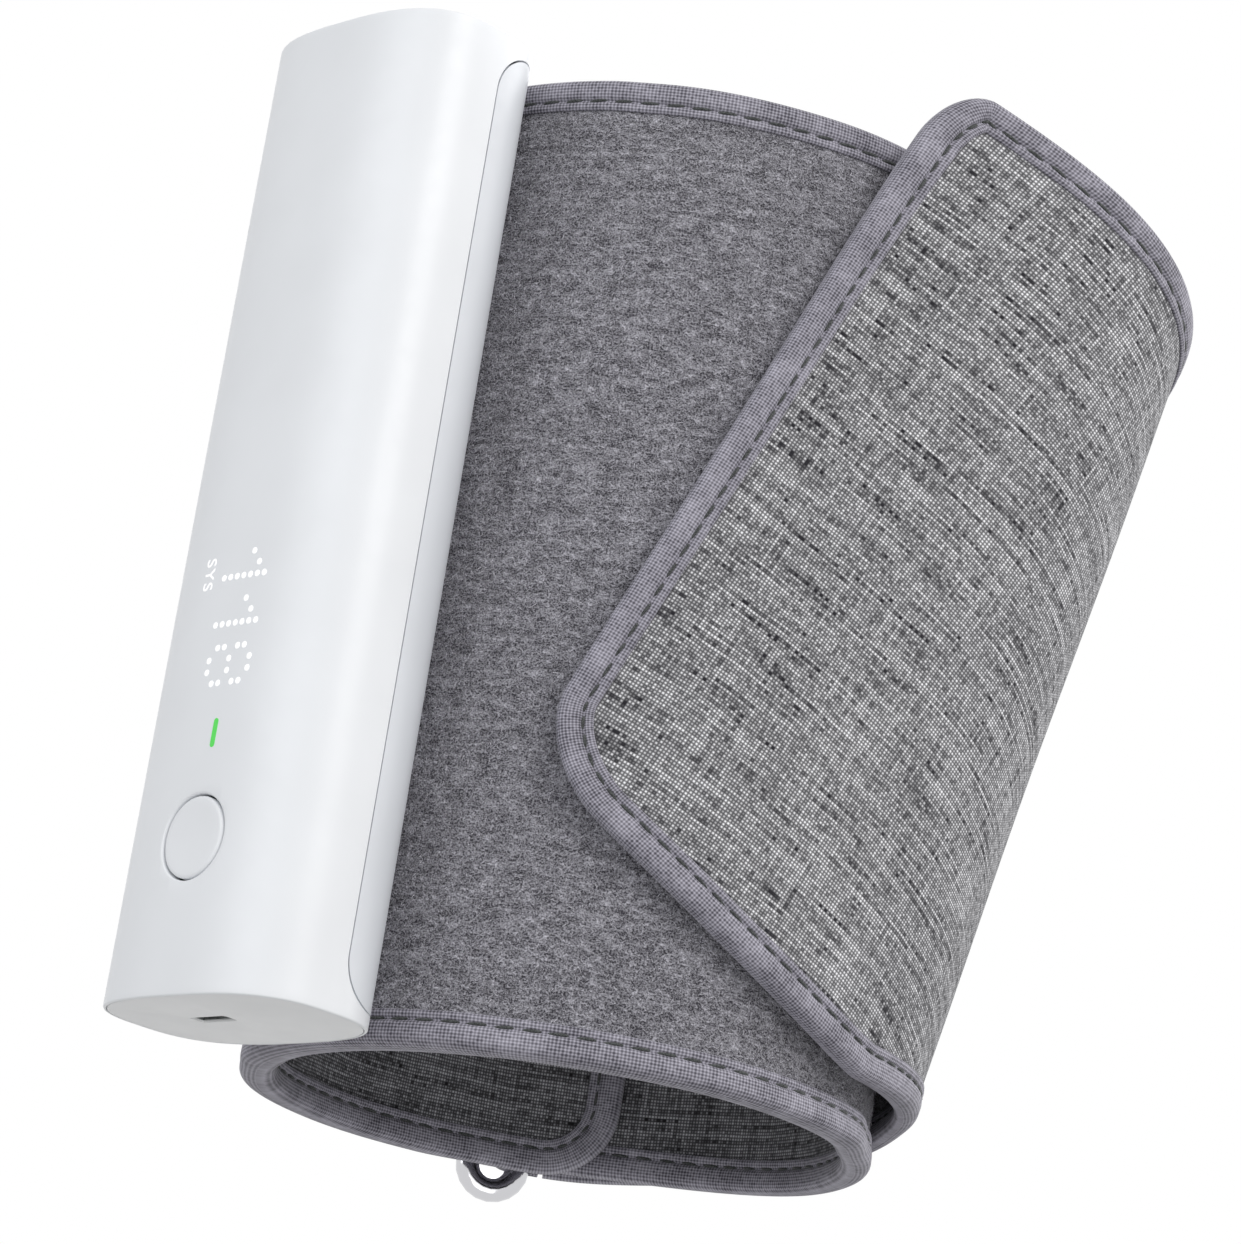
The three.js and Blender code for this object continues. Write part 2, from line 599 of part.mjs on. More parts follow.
const bossPins = (r, front, rear) =>
  SCREW_HEIGHTS.flatMap((z) => [-SCREW_X, SCREW_X].map((x) => pin(r, x, z, front, rear, 12)));

function rearCover() {
  const shell = extrude(shellSection(false), CAP + GAP, TUBE_LENGTH - CAP - GAP);
  const seat = CHASSIS.y + CHASSIS.thickness + GAP;
  const bossed = join(shell, ...bossPins(2.6, seat, TUBE.depth - 1.5));
  const passages = pinsToCuff(TUBE.depth - TUBE.wall - 2, 5);
  return cut(bossed, ...bossPins(SCREW_R + GAP, seat - 1, seat + 1.8), ...passages);
}

// An end cap: a flat plate with a rim that locates it inside the shells.
function endCap(upper) {
  const rimOuter = wholeSection(TUBE.wall + GAP);
  rimOuter.holes.push(new THREE.Path(sectionArc(TUBE.wall + GAP + RIM, 0, 2 * PI, 32).slice(0, -1)));
  const plate = extrude(wholeSection(0), 0, CAP);
  const rim = extrude(rimOuter, CAP - 0.5, CAP + 2.2);
  const cap = join(plate, rim);
  return upper ? closed(reshape(cap, (x, y, z) => new THREE.Vector3(x, y, TUBE_LENGTH - z))) : cap;
}

function usbReceptacle() {
  const { x, y, width, height, depth, wall } = USB;
  const can = block([-width / 2, width / 2], [-height / 2, height / 2], [GAP, depth]);
  const mouth = block([-width / 2 + wall, width / 2 - wall], [-height / 2 + wall, height / 2 - wall],
    [GAP - 1, depth - 1]);
  const tongue = block([-2.2, 2.2], [-0.25, 0.25], [1, depth - 0.6]);
  return join(cut(can, mouth), tongue).translate(x, y, 0);
}

function powerButton() {
  const front = -TUBE.depth - BUTTON.proud + 0.2;
  const inner = GAP - depthAt(BUTTON.r + BUTTON.flange);
  const face = pin(BUTTON.r, 0, BUTTON.z, front, inner + 0.5, 40);
  const flange = pin(BUTTON.r + BUTTON.flange, 0, BUTTON.z, inner, inner + 1, 32);
  const stem = pin(1.5, 0, BUTTON.z, inner + 0.6, switchFront - BUTTON.travel - 0.2);
  return join(face, flange, stem);
}

const boardFront = BOARD.y - BOARD.thickness / 2;
const boardBack = BOARD.y + BOARD.thickness / 2;
const switchFront = boardFront - GAP - 4;

function buildElectronics(monitor) {
  const { bottom, top } = BOARD;
  const half = TUBE.half - TUBE.wall - BOARD.side;
  add(monitor, 'main_board', block([-half, half], [boardFront, boardBack], [bottom + GAP, top]), FINISH.board);
  const key = join(
    block([-3, 3], [switchFront + 1, boardFront - GAP], [BUTTON.z - 3, BUTTON.z + 3]),
    pin(1.7, 0, BUTTON.z, switchFront, switchFront + 1.4),
  );
  add(monitor, 'power_switch', key, FINISH.dark);
  const panelTop = 90;
  const panelBottom = STATUS.z + STATUS.length / 2 + 1.5;
  const maskFront = -TUBE.depth + TUBE.wall + GAP + 0.4;
  const panelFront = maskFront + MASK.thickness + GAP;
  const wide = widthAt(maskFront) - MASK.side;
  const panel = block([GAP - wide, wide - GAP], [panelFront, boardFront - GAP], [panelBottom, panelTop]);
  add(monitor, 'led_display', panel, FINISH.dark);
  const window = wide - MASK.rim;
  const mask = cut(
    block([-wide, wide], [maskFront, maskFront + MASK.thickness], [panelBottom, panelTop]),
    block([-window, window], [maskFront - 1, panelFront], [panelBottom + MASK.rim, panelTop - MASK.rim]),
  );
  add(monitor, 'light_mask', mask, FINISH.dark);
  const w = STATUS.width / 2;
  const l = STATUS.length / 2;
  const pipeReach = [-TUBE.depth + 0.15, boardFront - GAP];
  const pipe = block([STATUS.x - w, STATUS.x + w], pipeReach, [STATUS.z - l, STATUS.z + l]);
  add(monitor, 'status_light_pipe', pipe, FINISH.green);
  add(monitor, 'controller_chip', block([-5, 5], [boardBack + GAP, boardBack + 1.8], [12, 22]), FINISH.dark);
  add(monitor, 'pressure_sensor', block([-4, 4], [boardBack + GAP, boardBack + 4.2], [83, 91]), FINISH.dark);
  add(monitor, 'usb_receptacle', usbReceptacle(), FINISH.steel);
  const cellHalf = CHASSIS_HALF - BATTERY.side;
  const cell = block([-cellHalf, cellHalf], [CHASSIS.y - GAP - BATTERY.depth, CHASSIS.y - GAP],
    [BATTERY.bottom, BATTERY.top]);
  add(monitor, 'battery', cell, FINISH.film);
}

function buildPneumatics(monitor) {
  const { r, x, y, bottom, motor, play, head } = PUMP;
  const motorTop = bottom + motor;
  const headBottom = motorTop + play;
  const headTop = headBottom + head;
  add(monitor, 'pump_motor', rod(r, x, y, bottom, motorTop, 32), FINISH.steel);
  const crankPin = rod(1.2, x + 2.6, y, motorTop + 1, headBottom - GAP, 12);
  const crank = join(rod(4.5, x, y, motorTop + GAP, motorTop + 2), crankPin);
  add(monitor, 'pump_crank', crank, FINISH.dark);
  add(monitor, 'pump_head', rod(r, x, y, headBottom, headTop, 32), FINISH.dark);
  const valveTop = VALVE.bottom + VALVE.height;
  const foot = block([VALVE.x - 2, VALVE.x + 2], [y, CHASSIS.y - GAP], [VALVE.bottom + 4, valveTop - 4]);
  add(monitor, 'air_valve', join(rod(VALVE.r, VALVE.x, y, VALVE.bottom, valveTop), foot), FINISH.steel);
  const manifoldBottom = NOZZLE.z - 6.5;
  const plunger = rod(1.5, VALVE.x, y, valveTop + GAP, manifoldBottom - VALVE.stroke - 0.2, 16);
  add(monitor, 'valve_plunger', plunger, FINISH.steel);
  const side = x + r + GAP;
  const manifoldTop = headTop - 2;
  const rear = CHASSIS.y - GAP;
  const manifold = block([side, widthAt(rear) - MANIFOLD.side], [y - 4, rear], [manifoldBottom, manifoldTop]);
  add(monitor, 'air_manifold', manifold, FINISH.clear);
  const nozzle = pin(NOZZLE.r, NOZZLE.x, NOZZLE.z, rear + GAP, TUBE_R - BLADDER_R - GAP - 0.1);
  add(monitor, 'air_nozzle', nozzle, FINISH.clear);
  const from = new THREE.Vector3(x + 4, y, headTop + GAP);
  const to = new THREE.Vector3(side + MANIFOLD.hose, y, manifoldTop + GAP);
  const crown = headTop + 4.4;
  const route = new THREE.CatmullRomCurve3([
    from, from.clone().setZ(crown - 1.2), from.clone().lerp(to, 0.5).setZ(crown),
    to.clone().setZ(crown - 1.2), to,
  ]);
  const bore = new THREE.Shape(new THREE.Path().absarc(0, 0, 1.5, 0, 2 * PI).getPoints(4).slice(0, -1));
  const hose = new THREE.ExtrudeGeometry(bore, { extrudePath: route, steps: 18 });
  add(monitor, 'air_hose', closed(hose), FINISH.rubber);
}

function buildCasing(monitor) {
  add(monitor, 'front_shell', frontShell(), FINISH.shell);
  add(monitor, 'rear_cover', rearCover(), FINISH.rear);
  const mouth = block([-USB.width / 2 - GAP, USB.width / 2 + GAP], [-USB.height / 2 - GAP, USB.height / 2 + GAP],
    [-1, CAP + 4]);
  add(monitor, 'bottom_cap', cut(endCap(false), mouth.translate(USB.x, USB.y, 0)), FINISH.shell);
  add(monitor, 'top_cap', endCap(true), FINISH.shell);
  add(monitor, 'power_button', powerButton(), FINISH.shell);
}

function buildChassis(monitor) {
  const { y, thickness, bottom, top } = CHASSIS;
  const plate = block([-CHASSIS_HALF, CHASSIS_HALF], [y, y + thickness], [bottom, top]);
  const passage = pin(NOZZLE.r + GAP, NOZZLE.x, NOZZLE.z, y - 1, y + thickness + 1);
  add(monitor, 'chassis', cut(plate, ...bossPins(SCREW_R + GAP, y - 1, y + thickness + 1), passage), FINISH.dark);
  let number = 1;
  for (const z of SCREW_HEIGHTS) {
    for (const x of [-SCREW_X, SCREW_X]) {
      const screw = join(
        pin(2.1, x, z, y - GAP - 1.3, y - GAP, 10),
        pin(SCREW_R, x, z, y - GAP - 0.5, y + thickness + 1.6, 8),
      );
      add(monitor, `chassis_screw_${number}`, screw, FINISH.steel);
      number += 1;
    }
  }
  const wallInside = TUBE.depth - TUBE.wall;
  CUFF_SCREW_HEIGHTS.forEach((z, i) => {
    const end = TUBE_R - BLADDER_R - 2 * GAP;
    const screw = join(
      pin(2.5, 0, z, wallInside - GAP - 1.2, wallInside - GAP, 10),
      pin(CUFF_SCREW_R, 0, z, wallInside - GAP - 0.5, end, 8),
    );
    add(monitor, `cuff_screw_${i + 1}`, screw, FINISH.steel);
  });
}

// ---- the whole object ------------------------------------------------------------------------
const cuff = new THREE.Group();
buildBand(cuff);
buildFlap(cuff);

const monitor = monitorFrame(new THREE.Group());
buildCasing(monitor);
buildElectronics(monitor);
buildPneumatics(monitor);
buildChassis(monitor);

const standing = new THREE.Group();
standing.rotation.set(rad(LEAN_X), rad(LEAN_Y), 0);
standing.add(cuff, monitor);

// The origin is under the middle of the object's box.
const object = new THREE.Group();
object.add(standing);
object.updateMatrixWorld(true);
const extent = new THREE.Box3().setFromObject(standing, true);
const middle = extent.getCenter(new THREE.Vector3());
standing.position.set(-middle.x, -middle.y, -extent.min.z);

export default object;
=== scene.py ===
"""Upper-arm blood pressure monitor: the looks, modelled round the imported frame.

Sizes are millimetres in the cuff's own frame: its axis is x = y = 0, +Z runs up the arm and
angles are degrees round that axis. Every finished mesh is in metres in the row frame.
"""

import json
import logging
import math
from dataclasses import dataclass, field
from enum import Enum
from typing import Callable, Optional, Sequence

import bpy
import numpy as np
from mathutils import Matrix, Vector


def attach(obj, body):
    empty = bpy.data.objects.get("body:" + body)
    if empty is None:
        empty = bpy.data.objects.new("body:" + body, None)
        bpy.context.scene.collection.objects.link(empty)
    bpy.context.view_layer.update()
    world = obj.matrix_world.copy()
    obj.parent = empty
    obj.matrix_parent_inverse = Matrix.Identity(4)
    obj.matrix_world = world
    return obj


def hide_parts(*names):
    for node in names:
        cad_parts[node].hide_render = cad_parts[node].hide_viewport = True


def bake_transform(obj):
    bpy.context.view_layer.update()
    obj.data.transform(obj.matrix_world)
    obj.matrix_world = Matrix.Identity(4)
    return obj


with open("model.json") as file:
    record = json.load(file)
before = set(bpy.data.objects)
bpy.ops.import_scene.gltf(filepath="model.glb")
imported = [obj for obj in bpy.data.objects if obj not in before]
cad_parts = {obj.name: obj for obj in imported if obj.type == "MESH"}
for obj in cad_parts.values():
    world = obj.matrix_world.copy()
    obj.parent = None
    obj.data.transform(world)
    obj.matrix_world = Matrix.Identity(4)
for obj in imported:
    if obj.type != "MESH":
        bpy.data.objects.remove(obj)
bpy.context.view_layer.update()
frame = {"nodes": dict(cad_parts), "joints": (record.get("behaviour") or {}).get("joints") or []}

log = logging.getLogger("monitor")

MM = 0.001
GAP = 0.3  # clearance between two pieces that touch
SEED = 11
LAID = (0, math.pi / 2, 0)  # turns an upright rod to lie along x

Array = np.ndarray
Piece = bpy.types.Object
Colour = tuple[float, float, float, float]
Place = Callable[[Array, Array], Array]
Move = Callable[[Array], Array]


# ---- small sums ------------------------------------------------------------------------------
def ramp(x: Array, start: float, end: float) -> Array:
    """Smooth rise from 0 at start to 1 at end."""
    t = np.clip((np.asarray(x, float) - start) / (end - start), 0, 1)
    return t * t * (3 - 2 * t)


def lerp(a: Array, b: Array, t: Array) -> Array:
    """Straight mix of a and b."""
    return a + (b - a) * t


def polar(r: Array, degrees: Array, z: Array) -> Array:
    """Points at a radius, an angle and a height.

    Args:
        r: radii in millimetres.
        degrees: angles round the cuff's axis.
        z: heights in millimetres.

    Returns:
        An (N, 3) array of points.
    """
    a = np.radians(np.asarray(degrees, float))
    r, a, z = np.broadcast_arrays(np.asarray(r, float), a, np.asarray(z, float))
    return np.stack([r * np.cos(a), r * np.sin(a), z], -1)


def degrees_of(length: Array, r: float) -> Array:
    """Angle that a length takes up on a circle of radius r."""
    return np.degrees(np.asarray(length, float) / r)


def lengths_along(path: Array) -> Array:
    """Length from a path's first point to each of its points."""
    return np.concatenate([[0], np.cumsum(np.linalg.norm(np.diff(path, axis=0), axis=1))])


def read_at(s: Array, at: Array, columns: Array) -> list[Array]:
    """Each column, read at s between the stations in at."""
    return [np.interp(s, at, column) for column in columns.T]


def resampled(path: Array, step: float) -> Array:
    """A path with points about step apart."""
    at = lengths_along(path)
    s = np.linspace(0, at[-1], max(2, int(at[-1] / step)))
    return np.stack(read_at(s, at, path), -1)


def rgb(red: float, green: float, blue: float) -> Colour:
    """A linear colour from display values of 0 to 255."""
    def linear(value: float) -> float:
        """One display value as linear light."""
        c = value / 255
        return c / 12.92 if c <= 0.04045 else ((c + 0.055) / 1.055) ** 2.4

    return (linear(red), linear(green), linear(blue), 1.0)


# ---- main measures ---------------------------------------------------------------------------
BORE_R = 44.0  # the band's inner face
LINING = 0.9
LOOP_CLOTH = 1.6
THIN = LINING + GAP + LOOP_CLOTH
THICK = 5.4  # band with its air bag in it; THIN is the band without
CUFF_R = BORE_R + THICK
EDGE = 0.8  # cloth ends this far inside the outline of its binding
# the band's outer end climbs over its inner end
CLIMB = THIN + 2 * EDGE + GAP + 0.1
BAR_RADIUS = 2.0  # the ring's wire
BAR_R = BORE_R + CLIMB + THIN + GAP + BAR_RADIUS
PITCH = 8.4  # between the ring's two bars
RING_ANGLE = 99.7
FOLD_LEG = 4.0  # the fold's reach from its bar
FREE_BAR = RING_ANGLE - float(degrees_of(PITCH / 2, BAR_R))
STRAP_BAR = RING_ANGLE + float(degrees_of(PITCH / 2, BAR_R))
FOLD_START = FREE_BAR - float(degrees_of(FOLD_LEG, BAR_R))
BAND_START = 77.0
BAND_END = 360 + FOLD_START - float(degrees_of(GAP, CUFF_R))
STRAP_BOTTOM = 1.5
STRAP_TOP = 131.0
STRAP_SPAN = 20  # degrees from its bar to the strap's far end
WIDTH = 153.0
TUBE_DEPTH = 13.7  # half the monitor tube, front to rear


# ---- how the object stands -------------------------------------------------------------------
@dataclass(frozen=True)
class Stance:
    """The lean of the whole object, and where the monitor sits on the cuff."""

    lean_x: float = 2.41
    lean_y: float = 0.61
    tube_angle: float = 221.2
    tube_turn: float = 314.0
    tube_r: float = (CUFF_R + EDGE + GAP + TUBE_DEPTH) / math.cos(math.radians(2.8))
    pump: tuple[float, float, float] = (-6.0, -1.5, 122.0)

    def turn(self) -> Matrix:
        """Rotation from the cuff's frame to the row frame."""
        about_x = Matrix.Rotation(math.radians(self.lean_x), 4, "X")
        return about_x @ Matrix.Rotation(math.radians(self.lean_y), 4, "Y")

    def monitor(self) -> Matrix:
        """The monitor's frame in the cuff's frame, in millimetres."""
        x, y, _ = polar(self.tube_r, self.tube_angle, 0.0)
        about_z = Matrix.Rotation(math.radians(self.tube_turn), 4, "Z")
        return Matrix.Translation((x, y, 0)) @ about_z

    def cuff_to_row(self) -> Matrix:
        """From millimetres in the cuff's frame to metres in the row frame."""
        spin = next(j for j in frame["joints"] if j["name"] == "pump_spin")
        turned = self.turn() @ Matrix.Scale(MM, 4)
        offset = Vector(spin["pos_m"]) - turned @ (self.monitor() @ Vector(self.pump))
        return Matrix.Translation(offset) @ turned


STANCE = Stance()
CUFF_TO_ROW = STANCE.cuff_to_row()
MONITOR_TO_ROW = CUFF_TO_ROW @ STANCE.monitor()
TURN = STANCE.turn()


def to_row(points: Array, matrix: Matrix = CUFF_TO_ROW) -> Array:
    """Points moved by a matrix."""
    m = np.array(matrix)
    return points @ m[:3, :3].T + m[:3, 3]


# ---- modelling helpers -----------------------------------------------------------------------
def deselect() -> None:
    """Nothing selected and no edit mode."""
    if bpy.context.object and bpy.context.object.mode != "OBJECT":
        bpy.ops.object.mode_set(mode="OBJECT")
    bpy.ops.object.select_all(action="DESELECT")


def pick(obj: Piece) -> Piece:
    """Makes obj the only selected and the active object."""
    deselect()
    obj.select_set(True)
    bpy.context.view_layer.objects.active = obj
    return obj


def in_edit_mode(obj: Piece, *steps: Callable[[], object]) -> None:
    """Runs edit mode operators on the whole of obj, one after another."""
    pick(obj)
    bpy.ops.object.mode_set(mode="EDIT")
    bpy.ops.mesh.select_all(action="SELECT")
    for step in steps:
        step()
    bpy.ops.object.mode_set(mode="OBJECT")


def merge_and_face_out(obj: Piece, distance: float = 1e-7) -> None:
    """Closes seams and poles, and turns every face outwards."""
    in_edit_mode(
        obj,
        lambda: bpy.ops.mesh.remove_doubles(threshold=distance),
        lambda: bpy.ops.mesh.dissolve_degenerate(threshold=distance),
        lambda: bpy.ops.mesh.normals_make_consistent(inside=False),
    )


def apply_modifier(obj: Piece, kind: str, **settings: object) -> None:
    """Adds one modifier with the given settings and applies it."""
    pick(obj)
    modifier = obj.modifiers.new(kind.lower(), kind)
    for key, value in settings.items():
        setattr(modifier, key, value)
    bpy.ops.object.modifier_apply(modifier=modifier.name)


def thicken(obj: Piece, thickness: float) -> None:
    """Gives a sheet its thickness in millimetres, half to each side."""
    apply_modifier(obj, "SOLIDIFY", thickness=thickness * MM, offset=0.0)


def soften(obj: Piece, width: float, sharp: float = 60) -> None:
    """Rounds the edges sharper than sharp degrees."""
    apply_modifier(obj, "BEVEL", width=width, segments=2, limit_method="ANGLE",
                   angle_limit=math.radians(sharp))


def points_of(obj: Piece) -> Array:
    """The points of a mesh."""
    co = np.empty(len(obj.data.vertices) * 3)
    obj.data.vertices.foreach_get("co", co)
    return co.reshape(-1, 3)


def set_points(obj: Piece, points: Array) -> None:
    """Moves the points of a mesh."""
    obj.data.vertices.foreach_set("co", points.ravel())
    obj.data.update()


def primitive(kind: str, **settings: object) -> Piece:
    """Adds one mesh primitive and applies its place, turn and size."""
    deselect()
    getattr(bpy.ops.mesh, f"primitive_{kind}_add")(**settings)
    bpy.ops.object.transform_apply(location=True, rotation=True, scale=True)
    return bpy.context.object


def bevel_edges(
    obj: Piece, chosen: Callable[[Vector, Vector], bool], width: float, segments: int
) -> None:
    """Rounds some edges.

    Args:
        obj: the piece.
        chosen: says from its two ends whether an edge is rounded.
        width: the bevel's width.
        segments: faces in the bevel.
    """
    in_edit_mode(
        obj,
        lambda: bpy.ops.mesh.select_mode(type="EDGE"),
        lambda: bpy.ops.mesh.select_all(action="DESELECT"),
    )
    for edge in obj.data.edges:
        edge.select = chosen(*(obj.data.vertices[i].co for i in edge.vertices))
    bpy.ops.object.mode_set(mode="EDIT")
    bpy.ops.mesh.bevel(offset=width, segments=segments, affect="EDGES")
    bpy.ops.object.mode_set(mode="OBJECT")


def cut_across(obj: Piece, *places: float) -> None:
    """Cuts a rod that lies along x at each place."""
    for x in places:
        in_edit_mode(obj, lambda: bpy.ops.mesh.bisect(plane_co=(x, 0, 0), plane_no=(1, 0, 0)))


def smooth(obj: Piece, angle: float = 40) -> None:
    """Smooth shading but across edges sharper than angle."""
    pick(obj)
    bpy.ops.object.shade_smooth_by_angle(angle=math.radians(angle))


def shaped_grid(
    name: str, steps: int, rows: int, place: Place, uv: Optional[Place] = None, closed: bool = False
) -> Piece:
    """A grid whose points are laid on a surface.

    Args:
        name: the piece's name.
        steps: faces along the first direction.
        rows: faces along the second direction.
        place: gives points in metres for two arrays of shares from 0 to 1.
        uv: gives the pattern's coordinates in millimetres for the same shares.
        closed: whether its ends meet and are to be joined.

    Returns:
        The object, at the origin.
    """
    obj = primitive("grid", x_subdivisions=steps, y_subdivisions=rows, size=2)
    obj.name = obj.data.name = name
    mesh = obj.data
    u, v = np.round((points_of(obj)[:, :2].T + 1) / 2, 6)
    set_points(obj, place(u, v))
    if uv is not None:
        corner = np.empty(len(mesh.loops), int)
        mesh.loops.foreach_get("vertex_index", corner)
        layer = mesh.uv_layers.active or mesh.uv_layers.new(name="UVMap")
        layer.data.foreach_set("uv", uv(u, v)[corner].ravel())
    if closed:
        merge_and_face_out(obj)
    return obj


def mesh_copies(name: str, master: Piece, places: Sequence[Move]) -> Piece:
    """One object that holds a copy of a master mesh for each place.

    Args:
        name: the piece's name.
        master: the shape that repeats; it is used up.
        places: for each copy, a function from the master's points to points in metres.

    Returns:
        The joined object.
    """
    co = points_of(master)
    faces = [tuple(p.vertices) for p in master.data.polygons]
    points, polygons = [], []
    for number, place in enumerate(places):
        points.append(place(co))
        polygons += [tuple(i + number * len(co) for i in f) for f in faces]
    joined = bpy.data.meshes.new(name)
    joined.from_pydata(np.concatenate(points).tolist(), [], polygons)
    obj = bpy.data.objects.new(name, joined)
    bpy.context.scene.collection.objects.link(obj)
    bpy.data.objects.remove(master)
    smooth(obj, 60)
    return obj


def ride(obj: Piece, body: str, slot: str, *nodes: str) -> Piece:
    """Puts a piece on its body and hides the nodes that it stands for."""
    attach(obj, body)
    if nodes:
        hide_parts(*nodes)
    log.info("%s rides on %s", obj.name, body)
    return obj


# ---- finishes --------------------------------------------------------------------------------
class Coordinates(Enum):
    """What a pattern follows."""

    OBJECT = "Object"
    CLOTH = "UV"


@dataclass(frozen=True)
class Signal:
    """A value that a material works out at each point; + - * / of signals give signals."""

    nodes: "Nodes"
    socket: bpy.types.NodeSocket

    def __add__(self, other: object) -> "Signal":
        """Sum."""
        return self.nodes.math("ADD", self, other)

    def __sub__(self, other: object) -> "Signal":
        """Difference."""
        return self.nodes.math("SUBTRACT", self, other)

    def __mul__(self, other: object) -> "Signal":
        """Product."""
        return self.nodes.math("MULTIPLY", self, other)

    def __truediv__(self, other: object) -> "Signal":
        """Quotient."""
        return self.nodes.math("DIVIDE", self, other)


@dataclass
class Nodes:
    """Adds nodes to a tree: values go in, signals come out."""

    tree: bpy.types.NodeTree

    def put(self, socket: bpy.types.NodeSocket, value: object) -> None:
        """Links or sets one input."""
        if isinstance(value, Signal):
            self.tree.links.new(value.socket, socket)
        else:
            socket.default_value = value

    def add(self, kind: str, inputs: dict, output: object = 0, **settings: object) -> Signal:
        """Adds one node.

        Args:
            kind: its type, after ShaderNode.
            inputs: a value or signal for each input, by number or name.
            output: the output that is wanted.
            **settings: the node's own properties.

        Returns:
            The output.
        """
        node = self.tree.nodes.new("ShaderNode" + kind)
        for key, value in settings.items():
            setattr(node, key, value)
        for key, value in inputs.items():
            self.put(node.inputs[key], value)
        return Signal(self, node.outputs[output])

    def math(self, operation: str, a: object, b: object = 0.0, clamp: bool = False) -> Signal:
        """One Math node."""
        return self.add("Math", {0: a, 1: b}, operation=operation, use_clamp=clamp)


class Weave(Nodes):
    """A material in the making, its pattern measured in millimetres."""

    def __init__(self, name: str, follows: Coordinates) -> None:
        """Starts the material."""
        self.material = bpy.data.materials.new(name)
        self.material.use_nodes = True
        super().__init__(self.material.node_tree)
        self.shader = self.tree.nodes["Principled BSDF"]
        self.where = self.add("TexCoord", {}, follows.value)
        if follows is Coordinates.OBJECT:
            self.where = self.add("VectorMath", {0: self.where, "Scale": 1 / MM}, operation="SCALE")

    def split(self) -> list[Signal]:
        """The three parts of the place."""
        node = self.add("SeparateXYZ", {0: self.where}).socket.node
        return [Signal(self, output) for output in node.outputs]

    def join(self, x: object, y: object, z: object = 0.0) -> Signal:
        """A vector from its parts."""
        return self.add("CombineXYZ", {0: x, 1: y, 2: z})

    def noise(self, vector: object, scale: float = 1.0, detail: float = 2.0) -> Signal:
        """Smooth noise of about 0.3 to 0.7."""
        return self.add("TexNoise", {"Vector": vector, "Scale": scale, "Detail": detail})

    def speckle(self, vector: object) -> Signal:
        """A random number from 0 to 1 for each whole vector."""
        return self.add("TexWhiteNoise", {"Vector": vector})

    def rescale(self, value: object, low: float, high: float, start: float, end: float) -> Signal:
        """A clamped linear map from low..high to start..end."""
        return self.add("MapRange", {0: value, 1: low, 2: high, 3: start, 4: end})

    def spread(self, noise: Signal, start: float = 0.0, end: float = 1.0) -> Signal:
        """Noise spread over start..end."""
        return self.rescale(noise, 0.3, 0.7, start, end)

    def mix(self, share: object, a: object, b: object) -> Signal:
        """A colour between a and b."""
        return self.add("Mix", {0: share, 6: a, 7: b}, 2, data_type="RGBA")

    def cloth(self, share: Signal, finish: "Cloth", specular: float, sheen: float) -> None:
        """Dresses the surface as cloth.

        Args:
            share: 0 for the finish's dark colour and 1 for its pale one.
            finish: the cloth.
            specular: its gloss level.
            sheen: its sheen weight.
        """
        self.surface(
            Base_Color=self.mix(share, finish.dark, finish.pale), Roughness=finish.roughness,
            Specular_IOR_Level=specular, Sheen_Weight=sheen, Sheen_Roughness=finish.sheen_spread,
        )

    def bump(self, height: object, depth: float, strength: float = 1.0) -> None:
        """Raises the surface by up to depth millimetres times height."""
        inputs = {"Strength": strength, "Distance": depth * MM, "Height": height}
        self.put(self.shader.inputs["Normal"], self.add("Bump", inputs))

    def surface(self, **inputs: object) -> None:
        """Sets the shader's own sockets, with _ for a space in a name."""
        for key, value in inputs.items():
            self.put(self.shader.inputs[key.replace("_", " ")], value)


@dataclass(frozen=True)
class SatinPlastic:
    """Moulded plastic with a fine spark grain."""

    name: str
    colour: Colour
    roughness: float = 0.4
    shade: float = 0.96
    grain: float = 0.006

    def make(self) -> bpy.types.Material:
        """Builds the material."""
        w = Weave(self.name, Coordinates.OBJECT)
        darker = tuple(c * self.shade for c in self.colour[:3]) + (1.0,)
        rough = self.roughness
        w.surface(
            Base_Color=w.mix(w.spread(w.noise(w.where, 0.05, 3)), self.colour, darker),
            Roughness=w.spread(w.noise(w.where, 0.4, 2), rough - 0.04, rough + 0.05),
        )
        w.bump(w.noise(w.where, 9.0, 2), self.grain)
        return w.material


@dataclass(frozen=True)
class Metal:
    """Polished or plain metal with faint wiping marks."""

    name: str
    colour: Colour
    roughness: float = 0.1
    marks: float = 0.004

    def make(self) -> bpy.types.Material:
        """Builds the material."""
        w = Weave(self.name, Coordinates.OBJECT)
        x, y, z = w.split()
        wiped = w.noise(w.join(x * 3.0, y * 3.0, z * 0.25), 1.0, 4)
        rough = w.spread(wiped, self.roughness * 0.7, self.roughness * 1.5)
        w.surface(Base_Color=self.colour, Metallic=1.0, Roughness=rough)
        w.bump(wiped, self.marks)
        return w.material


@dataclass(frozen=True)
class Cloth:
    """A cloth of two colours of yarn."""

    name: str
    dark: Colour
    pale: Colour
    roughness: float = 0.9
    sheen_spread: float = 0.5


